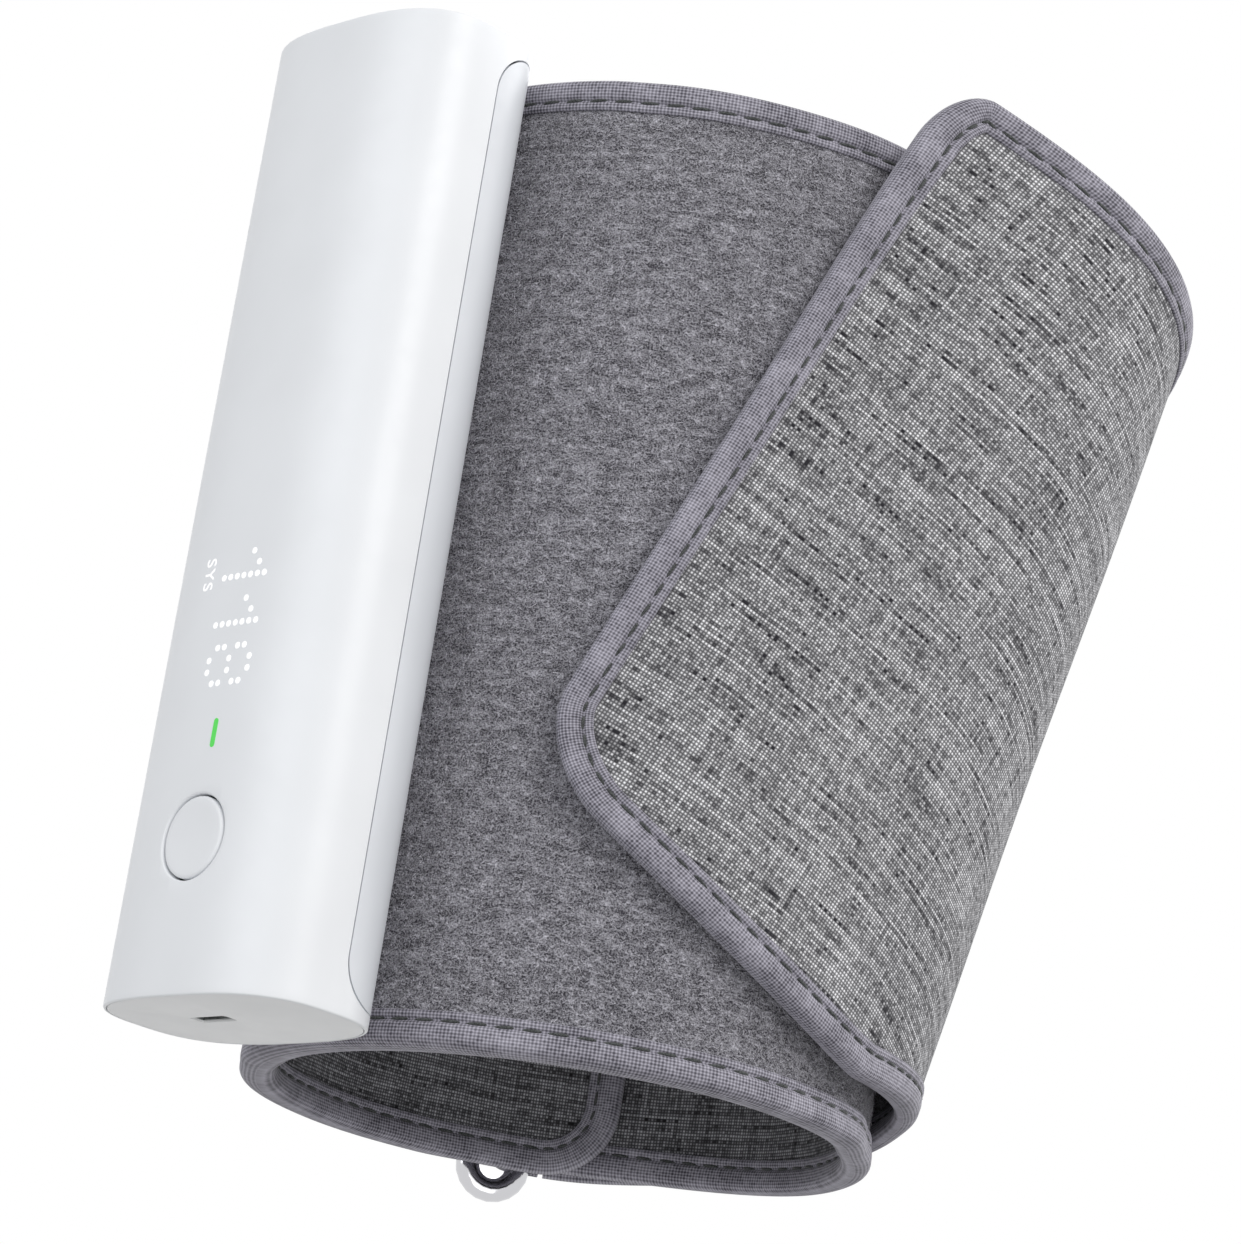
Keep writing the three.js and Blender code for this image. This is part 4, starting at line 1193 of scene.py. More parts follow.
@dataclass
class RingSet:
    """The metal ring with the cloth fold round its free bar and the strap round the other."""

    wire: float = BAR_RADIUS
    bottom: float = 1.7
    top: float = 132.8
    fold: float = 1.4
    strap: float = 1.0
    seat: float = CUFF_R + GAP + 0.1  # radius on which the strap lies

    def ring(self) -> Piece:
        """The ring: two long bars and two half-round ends."""
        half, straight = PITCH / 2, self.top - self.bottom
        length = 2 * straight + 2 * math.pi * half
        centre, out = polar(BAR_R, RING_ANGLE, 0.0), polar(1.0, RING_ANGLE, 0.0)
        across = polar(1.0, RING_ANGLE + 90, 0.0)

        def place(u: Array, v: Array) -> Array:
            """Round the ring and round its wire."""
            s = u * length
            bend = math.pi * half
            turn_top = np.clip((s - straight) / half, 0, math.pi)
            turn_bottom = np.clip((s - 2 * straight - bend) / half, 0, math.pi)
            turn = turn_top + turn_bottom
            z = self.bottom + np.clip(s, 0, straight) - np.clip(s - straight - bend, 0, straight)
            x, z = half * np.cos(turn), z + half * np.sin(turn)
            radial = np.stack([np.cos(turn), np.sin(turn)], -1)
            wire = 2 * np.pi * v
            swing = self.wire * np.cos(wire)
            place_x, place_z = x + radial[:, 0] * swing, z + radial[:, 1] * swing
            lift = self.wire * np.sin(wire)
            points = centre + place_x[:, None] * across + lift[:, None] * out
            points[:, 2] = place_z
            return to_row(points)

        obj = shaped_grid("ring", 220, 28, place, closed=True)
        smooth(obj, 60)
        return obj

    def wrap(
        self, name: str, outline: Array, thick: float, low: float, high: float, rows: int = 60
    ) -> Piece:
        """Cloth that runs along the bar, seen edge-on as an outline.

        Args:
            name: the piece's name.
            outline: (N, 2) plan points along the cloth's middle.
            thick: its thickness.
            low: its lower edge.
            high: its upper edge.
            rows: faces up it.

        Returns:
            The cloth, with its thickness.
        """
        path = resampled(self.eased(outline), 0.5)
        at = lengths_along(path)

        def place(u: Array, v: Array) -> Array:
            """Along the outline and up the bar."""
            return to_row(np.stack([*read_at(u * at[-1], at, path), lerp(low, high, v)], -1))

        def uv(u: Array, v: Array) -> Array:
            """Millimetres up the bar and along the outline."""
            return np.stack([v * (high - low), u * at[-1]], -1)

        obj = shaped_grid(name, len(path), rows, place, uv)
        thicken(obj, thick)
        soften(obj, 0.25 * MM)
        smooth(obj, 50)
        return obj

    def eased(self, outline: Array) -> Array:
        """The outline drawn as a smooth curve through its points."""
        before, beyond = 2 * outline[0] - outline[1], 2 * outline[-1] - outline[-2]
        path = np.concatenate([[before], outline, [beyond]])
        pieces = []
        for p0, p1, p2, p3 in zip(path, path[1:], path[2:], path[3:]):
            t = np.linspace(0, 1, 8, endpoint=False)[:, None]
            pieces.append(0.5 * (2 * p1 + (p2 - p0) * t + (2 * p0 - 5 * p1 + 4 * p2 - p3) * t**2
                                 + (3 * p1 - p0 - 3 * p2 + p3) * t**3))
        return np.concatenate([*pieces, [outline[-1]]])

    def about(self, bar: float, way: int) -> Callable[[float, float], Array]:
        """A plan point from how far out of and how far back along the band it is from a bar."""
        places = (BAR_R, 0), (1.0, 0), (1.0, 90 * way)
        centre, out, back = (polar(r, bar + a, 0.0)[:2] for r, a in places)
        return lambda o, b: centre + o * out + b * back

    def fold_outline(self) -> Array:
        """The band turned back round the free bar."""
        at, r, leg = self.about(FREE_BAR, -1), self.wire + GAP + 0.95, 3.7
        bend = [at(r * math.sin(a), -r * math.cos(a)) for a in np.radians(np.arange(-90, 91, 22.5))]
        return np.array([at(-r, leg), at(-r, leg / 2), *bend, at(r, leg / 2), at(r, leg)])

    def strap_outline(self) -> Array:
        """The strap that carries the other bar, its legs sewn on the band."""
        at, r = self.about(STRAP_BAR, 1), self.wire + GAP + self.strap / 2
        seat = self.seat + self.strap / 2
        bend = [at(r * math.sin(a), -r * math.cos(a)) for a in np.radians(np.arange(-90, 91, 30))]
        rise = self.strap + GAP
        inner = [polar(seat, STRAP_BAR + a, 0.0)[:2] for a in (STRAP_SPAN, 13, 7)]
        last = (1, 11), (0, STRAP_SPAN)
        outer = [polar(seat + rise + out, STRAP_BAR + a, 0.0)[:2] for out, a in last]
        return np.array([*inner, *bend, at(r - 0.4, 4), *outer])

    def fold_edge(self, upper: bool) -> Outline:
        """The fold's bound edge at its top or bottom."""
        core = 1.2  # thickness under the tape
        path = resampled(self.eased(self.fold_outline()), 0.3)
        at = lengths_along(path)
        way = np.gradient(path, at, axis=0)
        normal = np.stack([-way[:, 1], way[:, 0]], -1)
        z = STRAP_TOP if upper else STRAP_BOTTOM
        flat = np.stack([at, np.full_like(at, z)], -1)

        def lay(flat_x: Array, flat_y: Array, depth: Array) -> Array:
            """Flat place to space."""
            on_path, off = read_at(flat_x, at, path), read_at(flat_x, at, normal)
            spot = [start + (depth - core / 2) * way for start, way in zip(on_path, off)]
            return to_row(np.stack([*spot, flat_y], -1))

        return Outline(flat[::-1] if upper else flat, lay, lambda flat_x: core + 0 * flat_x)

    def build(self, finishes: Finishes) -> None:
        """Models, dresses and places the ring and its cloth."""
        ring = finishes.on(self.ring(), "chrome")
        ride(ring, "cuff", "polished_ring", "metal_ring")
        low, high = STRAP_BOTTOM + EDGE, STRAP_TOP - EDGE
        fold = self.wrap("strap_fold_cloth", self.fold_outline(), self.fold, low, high)
        ride(finishes.on(fold, "loop_pile"), "cuff", "loop_pile", "strap_fold")
        slim = Binding(puff=0.38)
        for name, upper in (("fold_binding_bottom", False), ("fold_binding_top", True)):
            hem = finishes.on(slim.build(name, self.fold_edge(upper)), "binding")
            ride(hem, "cuff", "binding_tape")
        strap = self.wrap("ring_strap_cloth", self.strap_outline(), self.strap, 5.7, STRAP_TOP - 2)
        ride(finishes.on(strap, "binding"), "cuff", "binding_tape", "ring_strap")
        sewn = finishes.on(self.strap_stitches(), "stitch_thread")
        ride(sewn, "cuff", "binding_tape")

    def strap_stitches(self) -> Piece:
        """Two rows of stitches that hold the strap on the band."""
        seat = self.seat + self.strap + self.strap + GAP
        path = np.stack([np.full(200, 0.0), np.linspace(8, STRAP_TOP - 5, 200)], -1)

        def lay(flat_x: Array, flat_y: Array, depth: Array) -> Array:
            """Flat place to space."""
            angle = STRAP_BAR + STRAP_SPAN - degrees_of(flat_x, seat)
            return to_row(polar(seat + depth, angle, flat_y))

        edge = Outline(path[::-1], lay, lambda flat_x: 0 * flat_x)
        rows = [
            Binding(puff=0.3, stitch_in=inward).stitches(f"strap_row_{inward:.0f}", edge, (1,))
            for inward in (2.0, 5.0)
        ]
        deselect()
        for row in rows:
            row.select_set(True)
        bpy.context.view_layer.objects.active = rows[0]
        bpy.ops.object.join()
        rows[0].name = "strap_stitches"
        return rows[0]


# ---- flap ------------------------------------------------------------------------------------
@dataclass
class Flap:
    """The closing flap: its end is peeled back and stands off the band."""

    back: float = 0.8
    total: float = 2.0
    r: float = CUFF_R + 2 * EDGE + GAP
    hinge: float = -10.0
    tail_bottom: float = -104.0
    tail_top: float = -50.0
    corner: float = 11.0
    slant: float = 24.0
    cluster: float = 0.6
    hook_span: tuple[float, float] = (0.58, 0.86)  # shares of the tail's length
    hook_margin: float = 9.4

    def __post_init__(self) -> None:
        """Sums that several methods share."""
        self.start = FOLD_START - float(degrees_of(GAP, BAR_R))
        self.tail_start = self.hinge - float(degrees_of(GAP / 2, self.r))
        self.outset = BAR_R + BAR_RADIUS + GAP - self.r
        self.lift = EDGE + THIN + CLIMB + BORE_R + EDGE + GAP - self.r
        self.run = self.length_to(self.tail_bottom) * math.cos(math.radians(self.slant))

    def length_to(self, angle: float) -> float:
        """Length round the band from the hinge to an angle."""
        return math.radians(self.tail_start - angle) * self.r

    def angle_of(self, x: Array) -> Array:
        """Angle at a length from the hinge."""
        return self.tail_start - degrees_of(x, self.r)

    def inside(self, angle: Array) -> Array:
        """Radius of the flap's inner face where it isn't flared."""
        near_ring = ramp(angle, 70, 90) * (self.outset - self.lift - 0.2)
        return self.r + (self.lift + 0.2) * ramp(angle, 0, 65) + near_ring

    def flare(self, angle: Array) -> Array:
        """How far the top edge stands off."""
        off = np.clip((angle - 10) / 80, -1, 1)
        return 30 * np.cos(np.pi / 2 * off) ** 2

    def bottom(self, angle: Array) -> Array:
        """Height of the bottom edge."""
        climb = np.maximum(0, (-35 - angle) / 69) ** 1.4
        return STRAP_BOTTOM + 6.5 * ramp(-angle, -90, 0) + 36 * climb

    def top(self, angle: Array) -> Array:
        """Height of the top edge."""
        along = np.maximum(0, self.start - angle) / (self.start - self.tail_top)
        return STRAP_TOP + (163 - STRAP_TOP) * along**1.6

    def point(self, x: Array, z: Array, depth: Array) -> Array:
        """A point of the flap from its flat place, in metres."""
        angle = self.angle_of(x)
        low, high = self.bottom(angle), self.top(angle)
        share = (z - low) / (high - low)
        slow, quick = 0.22 * np.sin(x / 19 + z / 41), 0.16 * np.sin(x / 11 - z / 29 + 2)
        soft = (slow + quick + 0.12 * np.sin(z / 13 + x / 31)) * ramp(-angle, -60, -20)
        r = self.inside(angle) + self.flare(angle) * share + depth + np.maximum(soft, -0.1)
        return to_row(polar(r, angle, z))

    def corner_inset(self, distance: Array, r: float) -> Array:
        """Height that a rounded corner takes off at a distance from the end."""
        into = np.maximum(r - np.maximum(distance, 0), 0)
        return r - np.sqrt(np.maximum(r * r - into * into, 0))

    def tail_line(self, u: Array, margin: float) -> tuple[Array, Array]:
        """The two ends of a line across the tail.

        Args:
            u: share of the way from the hinge to the slanted end.
            margin: how far inside the outline the line stops.

        Returns:
            The lower and the upper end, as (N, 2) flat points.
        """
        x_low, x_high = (self.length_to(a) * u for a in (self.tail_bottom, self.tail_top))
        low = np.stack([x_low, self.bottom(self.angle_of(x_low))], -1)
        high = np.stack([x_high, self.top(self.angle_of(x_high))], -1)
        way = (high - low) / np.linalg.norm(high - low, axis=-1, keepdims=True)
        inset = margin + self.corner_inset((1 - u) * self.run - margin, self.corner - margin)
        return low + way * inset[..., None], high - way * inset[..., None]

    def flat(self, u: Array, v: Array, margin: float) -> tuple[Array, Array]:
        """Flat place on the cloth: u runs from the slanted end to the ring."""
        split = 0.5
        q = np.clip(1 - u / split, 0, 1)
        station = lerp(q, np.sin(q * np.pi / 2), self.cluster)
        low, high = self.tail_line(station * (1 - margin / self.run), margin)
        t = np.clip((u - split) / (1 - split), 0, 1)
        body = -lerp(0.0, math.radians(self.start - self.tail_start) * self.r, t)
        angle = self.angle_of(body)
        on_tail = u < split
        x = np.where(on_tail, lerp(low[:, 0], high[:, 0], v), body)
        z_body = lerp(self.bottom(angle) + margin, self.top(angle) - margin, v)
        return x, np.where(on_tail, lerp(low[:, 1], high[:, 1], v), z_body)

    def cloth(
        self, name: str, low: float, high: float, steps: int = 200, rows: int = 90
    ) -> Piece:
        """One layer of the flap.

        Args:
            name: the piece's name.
            low: depth of its inner face.
            high: depth of its outer face.
            steps: faces along it.
            rows: faces across it.

        Returns:
            The sheet, with its thickness.
        """
        def place(u: Array, v: Array) -> Array:
            """The middle of the cloth."""
            x, z = self.flat(u, v, EDGE)
            return self.point(x, z, np.full_like(x, (low + high) / 2))

        def uv(u: Array, v: Array) -> Array:
            """Millimetres along the flap and across it."""
            x, z = self.flat(u, v, EDGE)
            c, s = math.cos(-math.radians(self.slant)), math.sin(-math.radians(self.slant))
            return np.stack([x * c - z * s, x * s + z * c], -1)

        obj = shaped_grid(name, steps, rows, place, uv)
        thicken(obj, high - low)
        smooth(obj, 50)
        return obj

    def edge(self) -> Outline:
        """The outline from the ring along the bottom, up the slanted end and back along the top."""
        long = math.radians(self.start - self.tail_start) * self.r
        body = np.linspace(-long, 0, 160)
        u = np.linspace(0, 1, 400)
        u = lerp(u, np.sin(u * np.pi / 2), 0.9)
        low, high = self.tail_line(u, 0.0)
        bottom = np.concatenate([np.stack([body, self.bottom(self.angle_of(body))], -1)[:-1], low])
        top = np.concatenate([np.stack([body, self.top(self.angle_of(body))], -1)[:-1], high])
        path = resampled(np.concatenate([bottom, top[::-1]]), 0.6)
        return Outline(path, self.point, lambda flat_x: self.total + 0 * flat_x)

    def hooks(self) -> Piece:
        """The hook fastener under the end, with its rounded corners."""
        def flat(u: Array, v: Array) -> Array:
            """Flat place on the patch."""
            low, high = self.tail_line(lerp(*self.hook_span, u), self.hook_margin)
            return lerp(low, high, v[:, None])

        def place(u: Array, v: Array) -> Array:
            """The patch's middle."""
            p = flat(u, v)
            return self.point(p[:, 0], p[:, 1], np.full(len(p), -GAP - 0.6))

        obj = shaped_grid("hook_pad", 60, 120, place, flat)
        thicken(obj, 1.1)
        soften(obj, 0.2 * MM)
        smooth(obj, 50)
        return obj

    def bend(self, obj: Piece, slot: str, *nodes: str) -> Piece:
        """Bakes a piece's place into its mesh and hides the nodes that it stands for."""
        hinge = next(j for j in frame["joints"] if j["name"] == "flap_open")
        centre, axis = Vector(hinge["pos_m"]), Vector(hinge["axis"]).normalized()
        a = math.radians(self.hinge)
        way = TURN.to_3x3() @ Vector((math.sin(a), -math.cos(a), 0))
        way = (way - axis * way.dot(axis)).normalized() * 15 * MM
        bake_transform(obj)
        if nodes:
            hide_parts(*nodes)
        log.info("%s bends between cuff and flap_end", obj.name)
        return obj

    def build(self, finishes: Finishes) -> None:
        """Models, dresses and places the flap."""
        front = finishes.on(self.cloth("flap_face_cloth", self.back + GAP, self.total), "flap_heather")
        self.bend(front, "heather_weave", "flap_face", "tail_face")
        rear = finishes.on(self.cloth("flap_back_cloth", 0.0, self.back), "loop_pile")
        self.bend(rear, "loop_pile", "flap_back", "tail_back")
        edge, binding = self.edge(), Binding()
        tape = finishes.on(binding.build("flap_binding", edge), "binding")
        self.bend(tape, "binding_tape", "flap_edge_bottom", "flap_edge_top", "tail_edge")
        sewn = finishes.on(binding.stitches("flap_stitches", edge), "stitch_thread")
        self.bend(sewn, "binding_tape")
        hooks = ride(finishes.on(self.hooks(), "hook_tape"), "flap_end", "hook_tape", "hook_patch")


# ---- monitor ---------------------------------------------------------------------------------
@dataclass
class MonitorTube:
    """The pump unit: white front shell, rear cover, end plates, button, display and port."""

    half: float = 21.3
    depth: float = TUBE_DEPTH
    power: float = 2.86
    wall: float = 1.8
    length: float = 153.0
    rim: float = 0.42
    rebate: float = 2.0
    plate: float = 1.75
    port: tuple[float, float] = (-3.4, -0.9)
    seam: float = 1.0
    seam_gap: float = 0.22
    seam_corner: float = 7.0
    button_r: float = 6.2
    button_z: float = 23.6
    dot_start: tuple[float, float] = (5.25, 67.0)
    dot_pitch: tuple[float, float] = (1.46, 1.83)
    columns: int = 260

    def __post_init__(self) -> None:
        """Spreads the section's points evenly along its outline."""
        t = np.linspace(0, 2 * np.pi, 8001)
        shape = self.rounding(t, 0.0)
        at = lengths_along(shape)
        self.turns = np.interp(np.linspace(0, at[-1], self.columns + 1), at, t)

    def turn_at(self, share: Array) -> Array:
        """Turn at a share of the way round the outline."""
        return np.interp(share * self.columns, np.arange(self.columns + 1), self.turns)

    def rounding(self, turn: Array, inset: Array) -> Array:
        """Section points at a turn, a distance inside the outline."""
        c, s = np.cos(turn), np.sin(turn)
        x = (self.half - inset) * np.sign(c) * np.abs(c) ** (2 / self.power)
        y = (self.depth - inset) * np.sign(s) * np.abs(s) ** (2 / self.power)
        return np.stack([x, y], -1)

    def front_y(self, x: Array) -> Array:
        """Depth of the front face at x."""
        share = np.minimum(np.abs(x) / self.half, 1)
        return -self.depth * (1 - share**self.power) ** (1 / self.power)

    def settle(self, obj: Piece) -> Piece:
        """Moves a piece from millimetres in the monitor's frame to its place."""
        obj.data.transform(MONITOR_TO_ROW)
        obj.data.update()
        return obj

    def wall_profile(self) -> Array:
        """The wall's section as inset and height, round its outside, ends and inside."""
        top = self.length
        rise = np.linspace(1.2, top - 1.2, 56)
        fillet = np.radians(np.linspace(0, 90, 6))
        nose = self.rim * 0.8 * (1 - np.stack([np.sin(fillet), np.cos(fillet)], -1))
        outside = np.stack([np.zeros_like(rise), rise], -1)
        ends_in = [(self.rim, 0.0), (self.rim, self.rebate), (self.wall, self.rebate)]
        low = [*ends_in[::-1], *[(i, z) for i, z in nose]]
        high = [(i, top - z) for i, z in low[::-1]]
        return np.array([*low, *outside, *high, low[0]])

    def wall_tube(self, name: str) -> Piece:
        """The whole wall before it is parted into front and rear."""
        profile = self.wall_profile()

        def place(u: Array, v: Array) -> Array:
            """Round the tube and along its wall's section."""
            inset, z = read_at(v * (len(profile) - 1), np.arange(len(profile)), profile)
            return np.concatenate([self.rounding(self.turn_at(u), inset), z[:, None]], -1)

        obj = shaped_grid(name, self.columns, len(profile) - 1, place)
        merge_and_face_out(obj, 1e-4)
        return obj

    def rear_block(self, grow: float) -> Piece:
        """The space that the rear cover takes, with rounded corners along the seam."""
        low, high = self.seam - grow, self.depth + 6
        bottom, top = self.rebate + 0.2 - grow, self.length - self.rebate - 0.2 + grow
        block = primitive("cube", size=1, location=(0, (low + high) / 2, (bottom + top) / 2),
                          scale=(60, high - low, top - bottom))

        def on_seam(a: Vector, b: Vector) -> bool:
            """Whether an edge runs across the tube at the seam."""
            return abs(a.x - b.x) > 1 and abs(a.y - low) < 1e-3 and abs(b.y - low) < 1e-3

        bevel_edges(block, on_seam, self.seam_corner, 14)
        return block

    def carve(self, obj: Piece, tool: Piece, operation: str) -> None:
        """Cuts obj with a tool, or keeps what lies in it, and removes the tool."""
        apply_modifier(obj, "BOOLEAN", object=tool, operation=operation, solver="EXACT")
        bpy.data.objects.remove(tool)

    def lathe(self, name: str, profile: Sequence[tuple[float, float]]) -> Piece:
        """A round piece about the button's axis, its depth measured from the shell's face.

        Args:
            name: the piece's name.
            profile: radius and depth below the face, from the front centre to the rear centre.

        Returns:
            The piece in the monitor's frame.
        """
        shape = np.array(profile)

        def place(u: Array, v: Array) -> Array:
            """Round the axis and along the profile."""
            r, sunk = read_at(v * (len(shape) - 1), np.arange(len(shape)), shape)
            a = 2 * np.pi * u
            x = r * np.cos(a)
            return np.stack([x, self.front_y(x) + sunk, self.button_z + r * np.sin(a)], -1)

        obj = shaped_grid(name, 96, len(shape) - 1, place)
        merge_and_face_out(obj, 1e-4)
        return obj

    def shells(self, finishes: Finishes) -> None:
        """Front shell and rear cover, parted along the seam."""
        front, rear = self.wall_tube("tube_front"), self.wall_tube("tube_rear")
        self.carve(front, self.rear_block(self.seam_gap / 2), "DIFFERENCE")
        self.carve(rear, self.rear_block(-self.seam_gap / 2), "INTERSECT")
        hole = self.button_r + GAP
        wide = hole + 0.8
        flare = (0.42, -0.02), (0.24, 0.03), (0.1, 0.13), (0.02, 0.28), (0, 0.5)
        mouth = [(hole + out, sunk) for out, sunk in flare]
        profile = [(0, -3), (wide, -3), (wide, -0.04), *mouth, (hole, 4), (0, 4)]
        cutter = self.lathe("button_cutter", profile)
        self.carve(front, cutter, "DIFFERENCE")
        for shell in (front, rear):
            merge_and_face_out(self.settle(shell), 1e-7)
            smooth(shell, 32)
        ride(finishes.on(front, "front_white"), "cuff", "white_shell", "front_shell")
        ride(finishes.on(rear, "rear_white"), "cuff", "rear_cover", "rear_cover")

    def end_plate(self, name: str, upper: bool) -> Piece:
        """An end plate let into the rim, with the port's mouth in the lower one."""
        plate = primitive("circle", vertices=200, fill_type="NGON")
        plate.name = plate.data.name = name
        turn = self.turn_at(np.linspace(0, 1, 200, endpoint=False))
        flat = self.rounding(turn, self.rim + 0.13)
        set_points(plate, np.concatenate([flat, np.zeros((200, 1))], -1))
        inwards = {"value": (0, 0, -self.plate if upper else self.plate)}
        in_edit_mode(
            plate,
            lambda: bpy.ops.mesh.extrude_region_move(TRANSFORM_OT_translate=inwards),
            lambda: bpy.ops.mesh.select_all(action="SELECT"),
            lambda: bpy.ops.mesh.normals_make_consistent(inside=False),
        )
        plate.data.transform(Matrix.Translation((0, 0, self.length if upper else 0)))
        if not upper:
            self.carve(plate, self.port_mouth(), "DIFFERENCE")
        soften(plate, 0.1, 50)
        merge_and_face_out(self.settle(plate), 1e-7)
        smooth(plate, 40)
        return plate

    def port_mouth(self) -> Piece:
        """The space of the port's mouth, its corners rounded."""
        mouth = primitive("cube", size=1, location=(*self.port, 0), scale=(7.7, 2.8, 8))
        apply_modifier(mouth, "BEVEL", width=0.5, segments=4)
        return mouth

    def button(self) -> Piece:
        """The round button, a shade dished, with a soft edge."""
        r = self.button_r
        dish = [(0, 0.2), (1.6, 0.19), (3.2, 0.15), (4.6, 0.09), (r - 0.75, 0.05), (r - 0.45, 0.06)]
        edge = [(r - 0.22, 0.12), (r - 0.07, 0.25), (r, 0.5), (r, 1.75), (r - 0.1, 1.85), (0, 1.85)]
        obj = self.lathe("tube_button", [*dish, *edge])
        merge_and_face_out(self.settle(obj), 1e-7)
        smooth(obj, 50)
        return obj

    def dot_places(self) -> list[tuple[float, float]]:
        """x and z of each lit dot: a one, a one and an eight, turned to read down the tube."""
        one = [(0, 2), (1, 1), *[(2, row) for row in range(7)]]
        sides = [(column, row) for column in (8, 11) for row in (1, 2, 4, 5)]
        eight = [(column, row) for column in (9, 10) for row in (0, 3, 6)] + sides
        cells = one + [(column + 4, row) for column, row in one] + eight
        (x, z), (down, along) = self.dot_start, self.dot_pitch
        return [(x - down * row, z - along * column) for column, row in cells]

    def dots(self) -> Piece:
        """The lit dots of the reading."""
        master = primitive("cylinder", vertices=20, radius=0.49, depth=0.08)
        soften(master, 0.03)

        def at(x0: float, z0: float) -> Move:
            """A dot laid on the curved face."""
            def place(co: Array) -> Array:
                """One dot's points."""
                x = x0 + co[:, 0]
                points = np.stack([x, self.front_y(x) - co[:, 2] - 0.01, z0 + co[:, 1]], -1)
                return to_row(points, MONITOR_TO_ROW)

            return place

        obj = mesh_copies("display_dots", master, [at(x, z) for x, z in self.dot_places()])
        merge_and_face_out(obj, 1e-8)
        return obj

    def laid_on_face(self, obj: Piece, x0: float, z0: float) -> Piece:
        """Lays a flat piece, drawn upright, on the face so that it reads down the tube."""
        across, up, out = points_of(obj).T
        x = x0 + up
        points = np.stack([x, self.front_y(x) - out, z0 - across], -1)
        set_points(obj, to_row(points, MONITOR_TO_ROW))
        merge_and_face_out(obj, 1e-8)
        return obj

    def label(self) -> Piece:
        """The three letters beside the reading."""
        deselect()
        bpy.ops.object.text_add()
        text = bpy.context.object
        text.data.body = "SYS"
        text.data.size, text.data.extrude, text.data.space_character = 3.15, 0.03, 1.12
        bpy.ops.object.convert(target="MESH")
        obj = bpy.context.object
        obj.name = obj.data.name = "display_label"
        obj.data.transform(Matrix.Translation((-float(points_of(obj)[:, 0].min()), 0, 0)))
        return self.laid_on_face(obj, -8.25, 66.8)

    def status_light(self) -> Piece:
        """The short green line."""
        obj = primitive("cube", size=1, scale=(4.4, 0.95, 0.1))
        obj.name = obj.data.name = "status_light"
        bevel_edges(obj, lambda a, b: abs(a.z - b.z) > 0.05, 0.47, 8)
        return self.laid_on_face(obj, 0.7, 39.2)

    def build(self, finishes: Finishes) -> None:
        """Models, dresses and places the pump unit."""
        self.shells(finishes)
        for end in ("bottom", "top"):
            # the end plates' white carries painted light
            plate = finishes.on(self.end_plate(f"tube_{end}_plate", end == "top"), "end_white_painted_lit")
            ride(plate, "cuff", "white_shell", f"{end}_cap")
        ride(finishes.on(self.button(), "front_white"), "button", "white_shell", "power_button")
        for lit in (self.dots, self.label):
            ride(finishes.on(lit(), "dot_glow"), "cuff", "white_shell")
        light = finishes.on(self.status_light(), "green_glow")
        ride(light, "cuff", "status_green", "status_light_pipe")


@dataclass
class InnerParts:
    """The carried-over parts inside the tube and the band, each in its own finish."""

    nodes_of: dict[str, str] = field(default_factory=lambda: {
        "film": "stiffener", "circuit_board": "main_board", "port_steel": "usb_receptacle",
        "cell_wrap": "battery", "clear_plastic": "air_manifold air_nozzle", "rubber": "air_hose",
        "dark_plastic": "power_switch led_display light_mask controller_chip pressure_sensor "
                        "pump_crank pump_head chassis",
        "plain_steel": "pump_motor air_valve valve_plunger chassis_screw_1 chassis_screw_2 "
                       "chassis_screw_3 chassis_screw_4 cuff_screw_1 cuff_screw_2",
    })

    def build(self, finishes: Finishes) -> None:
        """Gives each node its material."""
        for finish, names in self.nodes_of.items():
            for name in names.split():
                finishes.on(frame["nodes"][name], finish)
                log.info("%s is finished in %s", name, finish)


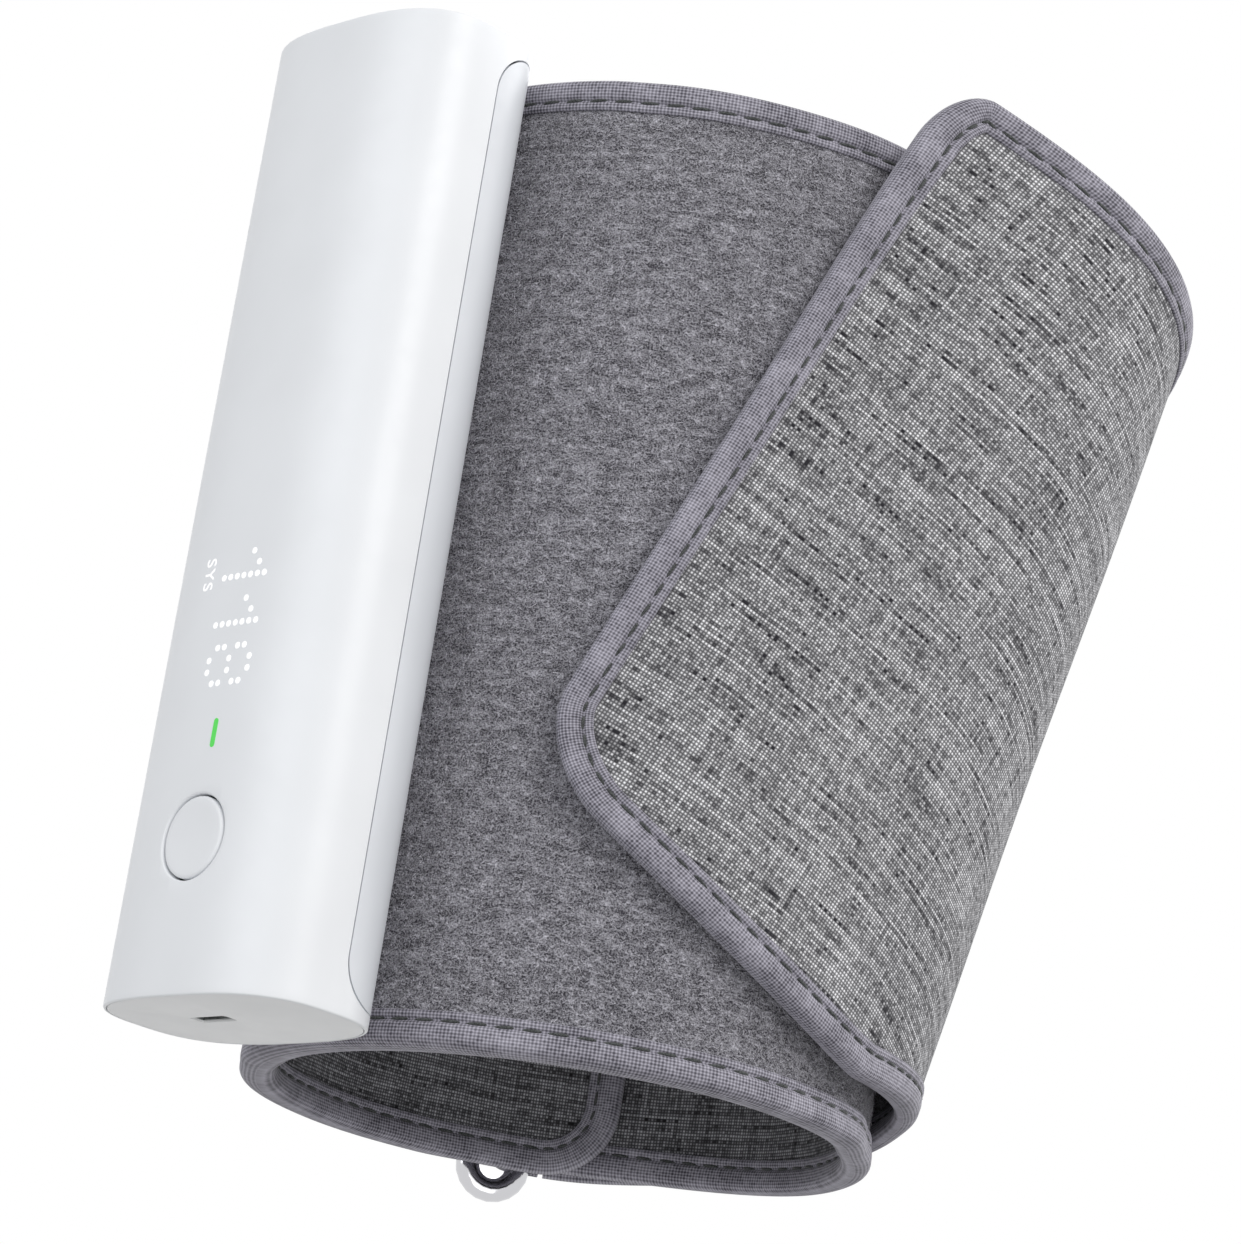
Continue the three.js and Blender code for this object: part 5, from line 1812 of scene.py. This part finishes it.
# ---- studio ----------------------------------------------------------------------------------
@dataclass
class Studio:
    """Camera, lamps, pale floor and white surroundings."""

    tube_middle: tuple[float, float, float] = (-48.36, -42.34, 76.5)
    eye: tuple[float, float, float] = (-3.13, -667.03, -123.78)
    right: tuple[float, float, float] = (0.98798, -0.04678, 0.14734)
    up: tuple[float, float, float] = (-0.15458, -0.29013, 0.94442)
    back: tuple[float, float, float] = (-0.00144, -0.95584, -0.29387)
    lens: float = 127.28
    ambient: float = 0.42

    def camera(self) -> None:
        """Places the camera low in front, looking up."""
        deselect()
        bpy.ops.object.camera_add()
        cam = bpy.context.object
        axes = Matrix([self.right, self.up, self.back]).transposed()
        turn = (TURN.to_3x3() @ axes).to_4x4()
        cam.matrix_world = Matrix.Translation(CUFF_TO_ROW @ Vector(self.eye)) @ turn
        cam.data.lens, cam.data.sensor_width = self.lens, 36.0
        cam.data.clip_start, cam.data.clip_end = 0.01, 50
        bpy.context.scene.camera = cam

    def lamp(
        self, name: str, place: tuple[float, float, float], size: float, power: float,
        colour: Colour = (1.0, 1.0, 1.0, 1.0),
    ) -> None:
        """One soft square lamp aimed at the object.

        Args:
            name: the lamp's name.
            place: where it stands, in metres.
            size: side of its square.
            power: watts.
            colour: its light.
        """
        deselect()
        bpy.ops.object.light_add(type="AREA", location=place)
        lamp = bpy.context.object
        lamp.name = name
        lamp.data.size, lamp.data.energy, lamp.data.color = size, power, colour[:3]
        lamp.rotation_euler = (Vector((0, 0, 0.08)) - Vector(place)).to_track_quat("-Z", "Y").to_euler()

    def floor(self) -> None:
        """A pale floor that takes a shadow from above and isn't there from below."""
        floor = primitive("plane", size=8)
        floor.name = "floor"
        in_edit_mode(floor, lambda: bpy.ops.mesh.subdivide(number_cuts=3))
        material = bpy.data.materials.new("pale_floor")
        material.use_nodes = True
        tree = material.node_tree
        tree.nodes.clear()
        nodes = Nodes(tree)
        seen = nodes.add("LightPath", {}, "Is Camera Ray")
        below = nodes.add("NewGeometry", {}, "Backfacing")
        shown = nodes.math("SUBTRACT", seen, below, clamp=True)
        matt = nodes.add("BsdfDiffuse", {"Color": (0.9, 0.9, 0.905, 1)})
        floored = nodes.add("MixShader", {0: shown, 1: nodes.add("BsdfTransparent", {}), 2: matt})
        nodes.put(tree.nodes.new("ShaderNodeOutputMaterial").inputs[0], floored)
        floor.data.materials.append(material)

    def surroundings(self) -> None:
        """White to the camera and in reflections, softer as light."""
        world = bpy.data.worlds.new("studio")
        bpy.context.scene.world = world
        world.use_nodes = True
        tree = world.node_tree
        sky, nodes = tree.nodes["Background"], Nodes(tree)
        kinds = "Camera", "Transmission", "Glossy"
        camera, through, glossy = (nodes.add("LightPath", {}, f"Is {kind} Ray") for kind in kinds)
        seen = nodes.math("MAXIMUM", nodes.math("MAXIMUM", camera, through), glossy)
        nodes.put(sky.inputs["Strength"], nodes.add("MapRange", {0: seen, 3: self.ambient}))
        sky.inputs["Color"].default_value = (1, 1, 1, 1)

    def build(self) -> None:
        """Sets the whole studio up."""
        self.camera()
        self.lamp("key_lamp", (0.75, -1.25, 0.9), 1.1, 14, (1, 0.99, 0.98, 1))
        self.lamp("fill_lamp", (-1.3, -0.9, 0.5), 1.2, 7.5, (0.93, 0.96, 1, 1))
        self.lamp("low_lamp", (0.1, -1.2, -0.6), 0.9, 2.6)
        self.lamp("side_lamp", (1.4, 0.3, 0.55), 0.7, 9)
        self.lamp("back_lamp", (0.2, 1.4, 1.0), 1.2, 8)
        self.floor()
        self.surroundings()
        bpy.context.scene.view_settings.view_transform = "Standard"


def main() -> None:
    """Builds the object piece by piece."""
    logging.basicConfig(level=logging.INFO, format="%(message)s")
    Studio().build()
    finishes = Finishes()
    for part in (CuffBand(), RingSet(), Flap(), MonitorTube(), InnerParts()):
        part.build(finishes)
        log.info("built %s", type(part).__name__)
    deselect()


if __name__ == "__main__":
    main()
